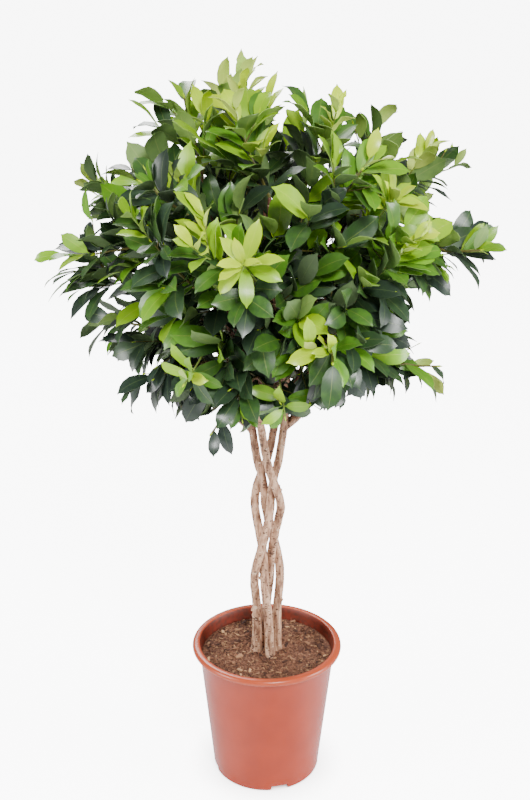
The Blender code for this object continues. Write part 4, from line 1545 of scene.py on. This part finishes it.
@dataclass
class Studio:
    """A pale floor, soft light and a camera where the photograph was taken from."""

    stand: tuple = (0.0, -2.175, 1.634)
    pitch: float = 21.4
    pan: float = 0.16
    roll: float = 0.31
    lens: float = 58.0
    sensor: float = 36.0
    floor_hex: str = "#f4f3f6"
    glow: float = 8.0
    fill: float = 0.30

    def camera(self) -> None:
        """Places the camera."""
        held = bpy.data.objects.new("camera", bpy.data.cameras.new("camera"))
        held.data.lens = self.lens
        held.data.sensor_width = self.sensor
        turn = Matrix.Rotation(math.radians(self.pan), 4, "Z")
        turn @= Matrix.Rotation(math.radians(90.0 - self.pitch), 4, "X")
        turn @= Matrix.Rotation(math.radians(self.roll), 4, "Z")
        held.matrix_world = Matrix.Translation(self.stand) @ turn
        bpy.context.scene.collection.objects.link(held)
        bpy.context.scene.camera = held

    def light(self, name: str, place: tuple, aim: tuple, size: float, power: float) -> None:
        """One square soft light that looks at a point."""
        lamp = bpy.data.lights.new(name, "AREA")
        lamp.size = size
        lamp.energy = power
        held = bpy.data.objects.new(name, lamp)
        way = Vector(aim) - Vector(place)
        held.matrix_world = Matrix.Translation(place) @ way.to_track_quat("-Z", "Y").to_matrix().to_4x4()
        bpy.context.scene.collection.objects.link(held)

    def build(self) -> None:
        """Builds the floor, the light and the camera."""
        pick_none()
        bpy.ops.mesh.primitive_plane_add(size=60.0)
        floor = bpy.context.object
        made, tree, shader = new_material("matte_white_paper_sweep")
        spot = add_node(tree, "ShaderNodeTexCoord").outputs["Object"]
        tone = add_node(tree, "ShaderNodeTexNoise", Vector=spot, Scale=1.5, Detail=1.0).outputs["Fac"]
        tree.links.new(ramp(tree, tone, [(0.0, self.floor_hex), (1.0, "#f8f7f9")]), shader.inputs["Base Color"])
        shader.inputs["Roughness"].default_value = 0.8
        seen = add_node(tree, "ShaderNodeLightPath").outputs["Is Camera Ray"]
        # Painted shadow: ambient occlusion dims the floor's glow near the pot, a painted contact shadow at its foot.
        painted_contact_shadow = add_node(tree, "ShaderNodeAmbientOcclusion", {"samples": 8}, Distance=0.06).outputs["AO"]
        lit = math_node(tree, "MULTIPLY", seen, math_node(tree, "MULTIPLY", painted_contact_shadow, self.glow))
        tree.links.new(lit, shader.inputs["Emission Strength"])
        named(floor, "floor", [made])
        world = bpy.data.worlds.new("studio")
        world.use_nodes = True
        back = world.node_tree.nodes["Background"]
        back.inputs["Color"].default_value = linear("#f7f8fb")
        seen = add_node(world.node_tree, "ShaderNodeLightPath").outputs["Is Camera Ray"]
        strength = math_node(world.node_tree, "MULTIPLY_ADD", seen, self.glow)
        strength.node.inputs[2].default_value = self.fill
        world.node_tree.links.new(strength, back.inputs["Strength"])
        bpy.context.scene.world = world
        self.light("key", (0.7, -2.5, 3.1), (0.0, 0.0, 0.9), 0.8, 150.0)
        self.light("left_fill", (-2.3, -1.2, 1.5), (0.0, 0.0, 0.7), 1.1, 80.0)
        self.light("back", (-0.9, 2.5, 2.7), (0.0, 0.0, 0.9), 1.4, 85.0)
        self.light("right_fill", (2.4, -0.6, 1.2), (0.0, 0.0, 0.5), 1.1, 85.0)
        self.camera()


def cad_points(names: list[str]) -> KDTree:
    """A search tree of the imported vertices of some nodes."""
    found = [v.co.copy() for name in names for v in frame["nodes"][name].data.vertices]
    tree = KDTree(len(found))
    for i, point in enumerate(found):
        tree.insert(point, i)
    tree.balance()
    return tree


def hand_over(piece: bpy.types.Object, slot: Slot, *nodes: str) -> None:
    """Makes a piece ride with the plant and stand for its nodes."""
    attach(piece, BODY)
    if nodes:
        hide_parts(*nodes)
    LOG.info("%s: %d faces", piece.name, len(piece.data.polygons))


def read_crown(crown: Crown) -> dict[str, Sprig]:
    """Reads every leafy node back as a sprig of twigs and blades."""
    stems = cad_points([n for n in frame["nodes"] if n.startswith("stem")])
    sprigs = {}
    for name in sorted(n for n in frame["nodes"] if n.startswith(("spray", "shoot"))):
        rng = random.Random(name)
        reader = NodeReader(name)
        blades = reader.blades()
        shoot = name.startswith("shoot")
        carrier = cad_points([name.replace("shoot", "spray")]) if shoot else stems
        path = reader.twig(carrier)
        young = 0.9 if shoot else 0.0
        thick = (0.0016, 0.0010) if shoot else (0.0028, 0.0017)
        twig = Twig(path, thick, young)
        fine = smoothed(path, 0.004)
        for blade in blades:
            nearest = min(fine, key=lambda p: (p - blade.rib[0]).length)
            blade.rib[0] = nearest.copy()
            blade.age = crown.age_of(blade, young, rng)
            crown.canopy.add(blade)
        sprigs[name] = Sprig(name.replace("spray", "leafy_spray").replace("shoot", "young_shoot"), [twig], blades)
    return sprigs


def fill_crown(crown: Crown, sprigs: dict[str, Sprig]) -> None:
    """Adds the leaves and side twigs that the solids leave out."""
    for name, sprig in sprigs.items():
        rng = random.Random(name + "more")
        twig = sprig.twigs[0]
        tipped = name.replace("spray", "shoot") in sprigs and name.startswith("spray")
        if name.startswith("shoot"):
            sprig.blades += crown.dress(Twig(twig.path, twig.thick, 0.9), 3, rng, tip=False, first=0.4)
            continue
        sprig.blades += crown.dress(twig, 6, rng, tip=not tipped)
        spin = rng.uniform(0, 360)
        path = smoothed(twig.path, 0.01)
        for share in (0.22, 0.48, 0.74, 0.93):
            k = int(share * (len(path) - 2))
            spin += GOLDEN_TURN
            young = 0.55 if rng.random() < 0.30 else 0.0
            grown = crown.side_twig(
                path[k], (path[k + 1] - path[k]).normalized(), rng.uniform(0.05, 0.09), spin, young, rng
            )
            if grown:
                sprig.twigs.append(grown)
                sprig.blades += crown.dress(grown, 6, rng)


def inner_sprigs(crown: Crown, boughs: dict[str, list]) -> list[Sprig]:
    """Short leafy twigs along the boughs, which close the crown's middle."""
    found = []
    for name, paths in boughs.items():
        sprig = Sprig(f"inner_leaves_{name}")
        rng = random.Random(name)
        for path in paths:
            spin = rng.uniform(0, 360)
            for k in (2, 3, 4, 4, 5, 6, 6, 7):
                spin += GOLDEN_TURN
                grown = crown.side_twig(
                    path[k], (path[k + 1] - path[k]).normalized(), rng.uniform(0.07, 0.12), spin, 0.0, rng
                )
                if grown:
                    sprig.twigs.append(grown)
                    sprig.blades += crown.dress(grown, 7, rng)
        found.append(sprig)
    return found


def main() -> None:
    """Builds the plant from the pot up and hands each piece to the frame."""
    logging.basicConfig(level=logging.INFO, format="%(message)s", stream=sys.stdout)
    Studio().build()
    pot = NurseryPot()
    hand_over(pot.build(MouldedTerracottaPlastic().material(), ShadedInnerPlastic().material()), Slot.POT, "pot")
    trunk = BraidedTrunk()
    mix = PottingMix(pot)
    hand_over(mix.build(MoistPottingMix().material()), Slot.MIX, "soil")
    feet = [trunk.leader(stem)[0][1] for stem in trunk.stems]
    hand_over(mix.scatter(BarkChip().material(), feet), Slot.MIX)

    crown = Crown()
    sprigs = read_crown(crown)
    bark = FigBark().material()
    boughs, number = {}, 1
    for stem in trunk.stems:
        ends = []
        for _ in range(len(trunk.bough_angles(stem[4])) + 1):
            path = sprigs[f"spray_{number:02d}"].twigs[0].path
            ends.append((path[0], (path[1] - path[0]).normalized()))
            number += 1
        body, paths = trunk.build_stem(stem, ends, bark)
        hand_over(body, Slot.BARK, stem[0])
        boughs[stem[0]] = paths
    limbs = [point for paths in boughs.values() for path in paths for point in path]
    whorls = [crown.rosette(azimuth, height, limbs, random.Random(round(azimuth))) for azimuth, height in ROSETTES]
    fill_crown(crown, sprigs)
    for name, sprig in sprigs.items():
        if name.startswith("shoot") or name.replace("spray", "shoot") not in sprigs:
            sprig.trim()
    inner = whorls + inner_sprigs(crown, boughs)
    press = LeafPress()
    finishes = [FicusLeaf(True).material(), FicusLeaf(False).material(), GreenTwig().material()]
    for seed, (name, sprig) in enumerate(sprigs.items()):
        slot = Slot.YOUNG if name.startswith("shoot") else Slot.LEAF
        hand_over(sprig.build(press, finishes, seed), slot, name)
    for seed, sprig in enumerate(inner):
        hand_over(sprig.build(press, finishes, 500 + seed), Slot.LEAF)
    LOG.info("leaves: %d", sum(len(s.blades) for s in [*sprigs.values(), *inner]))


if __name__ == "__main__":
    main()
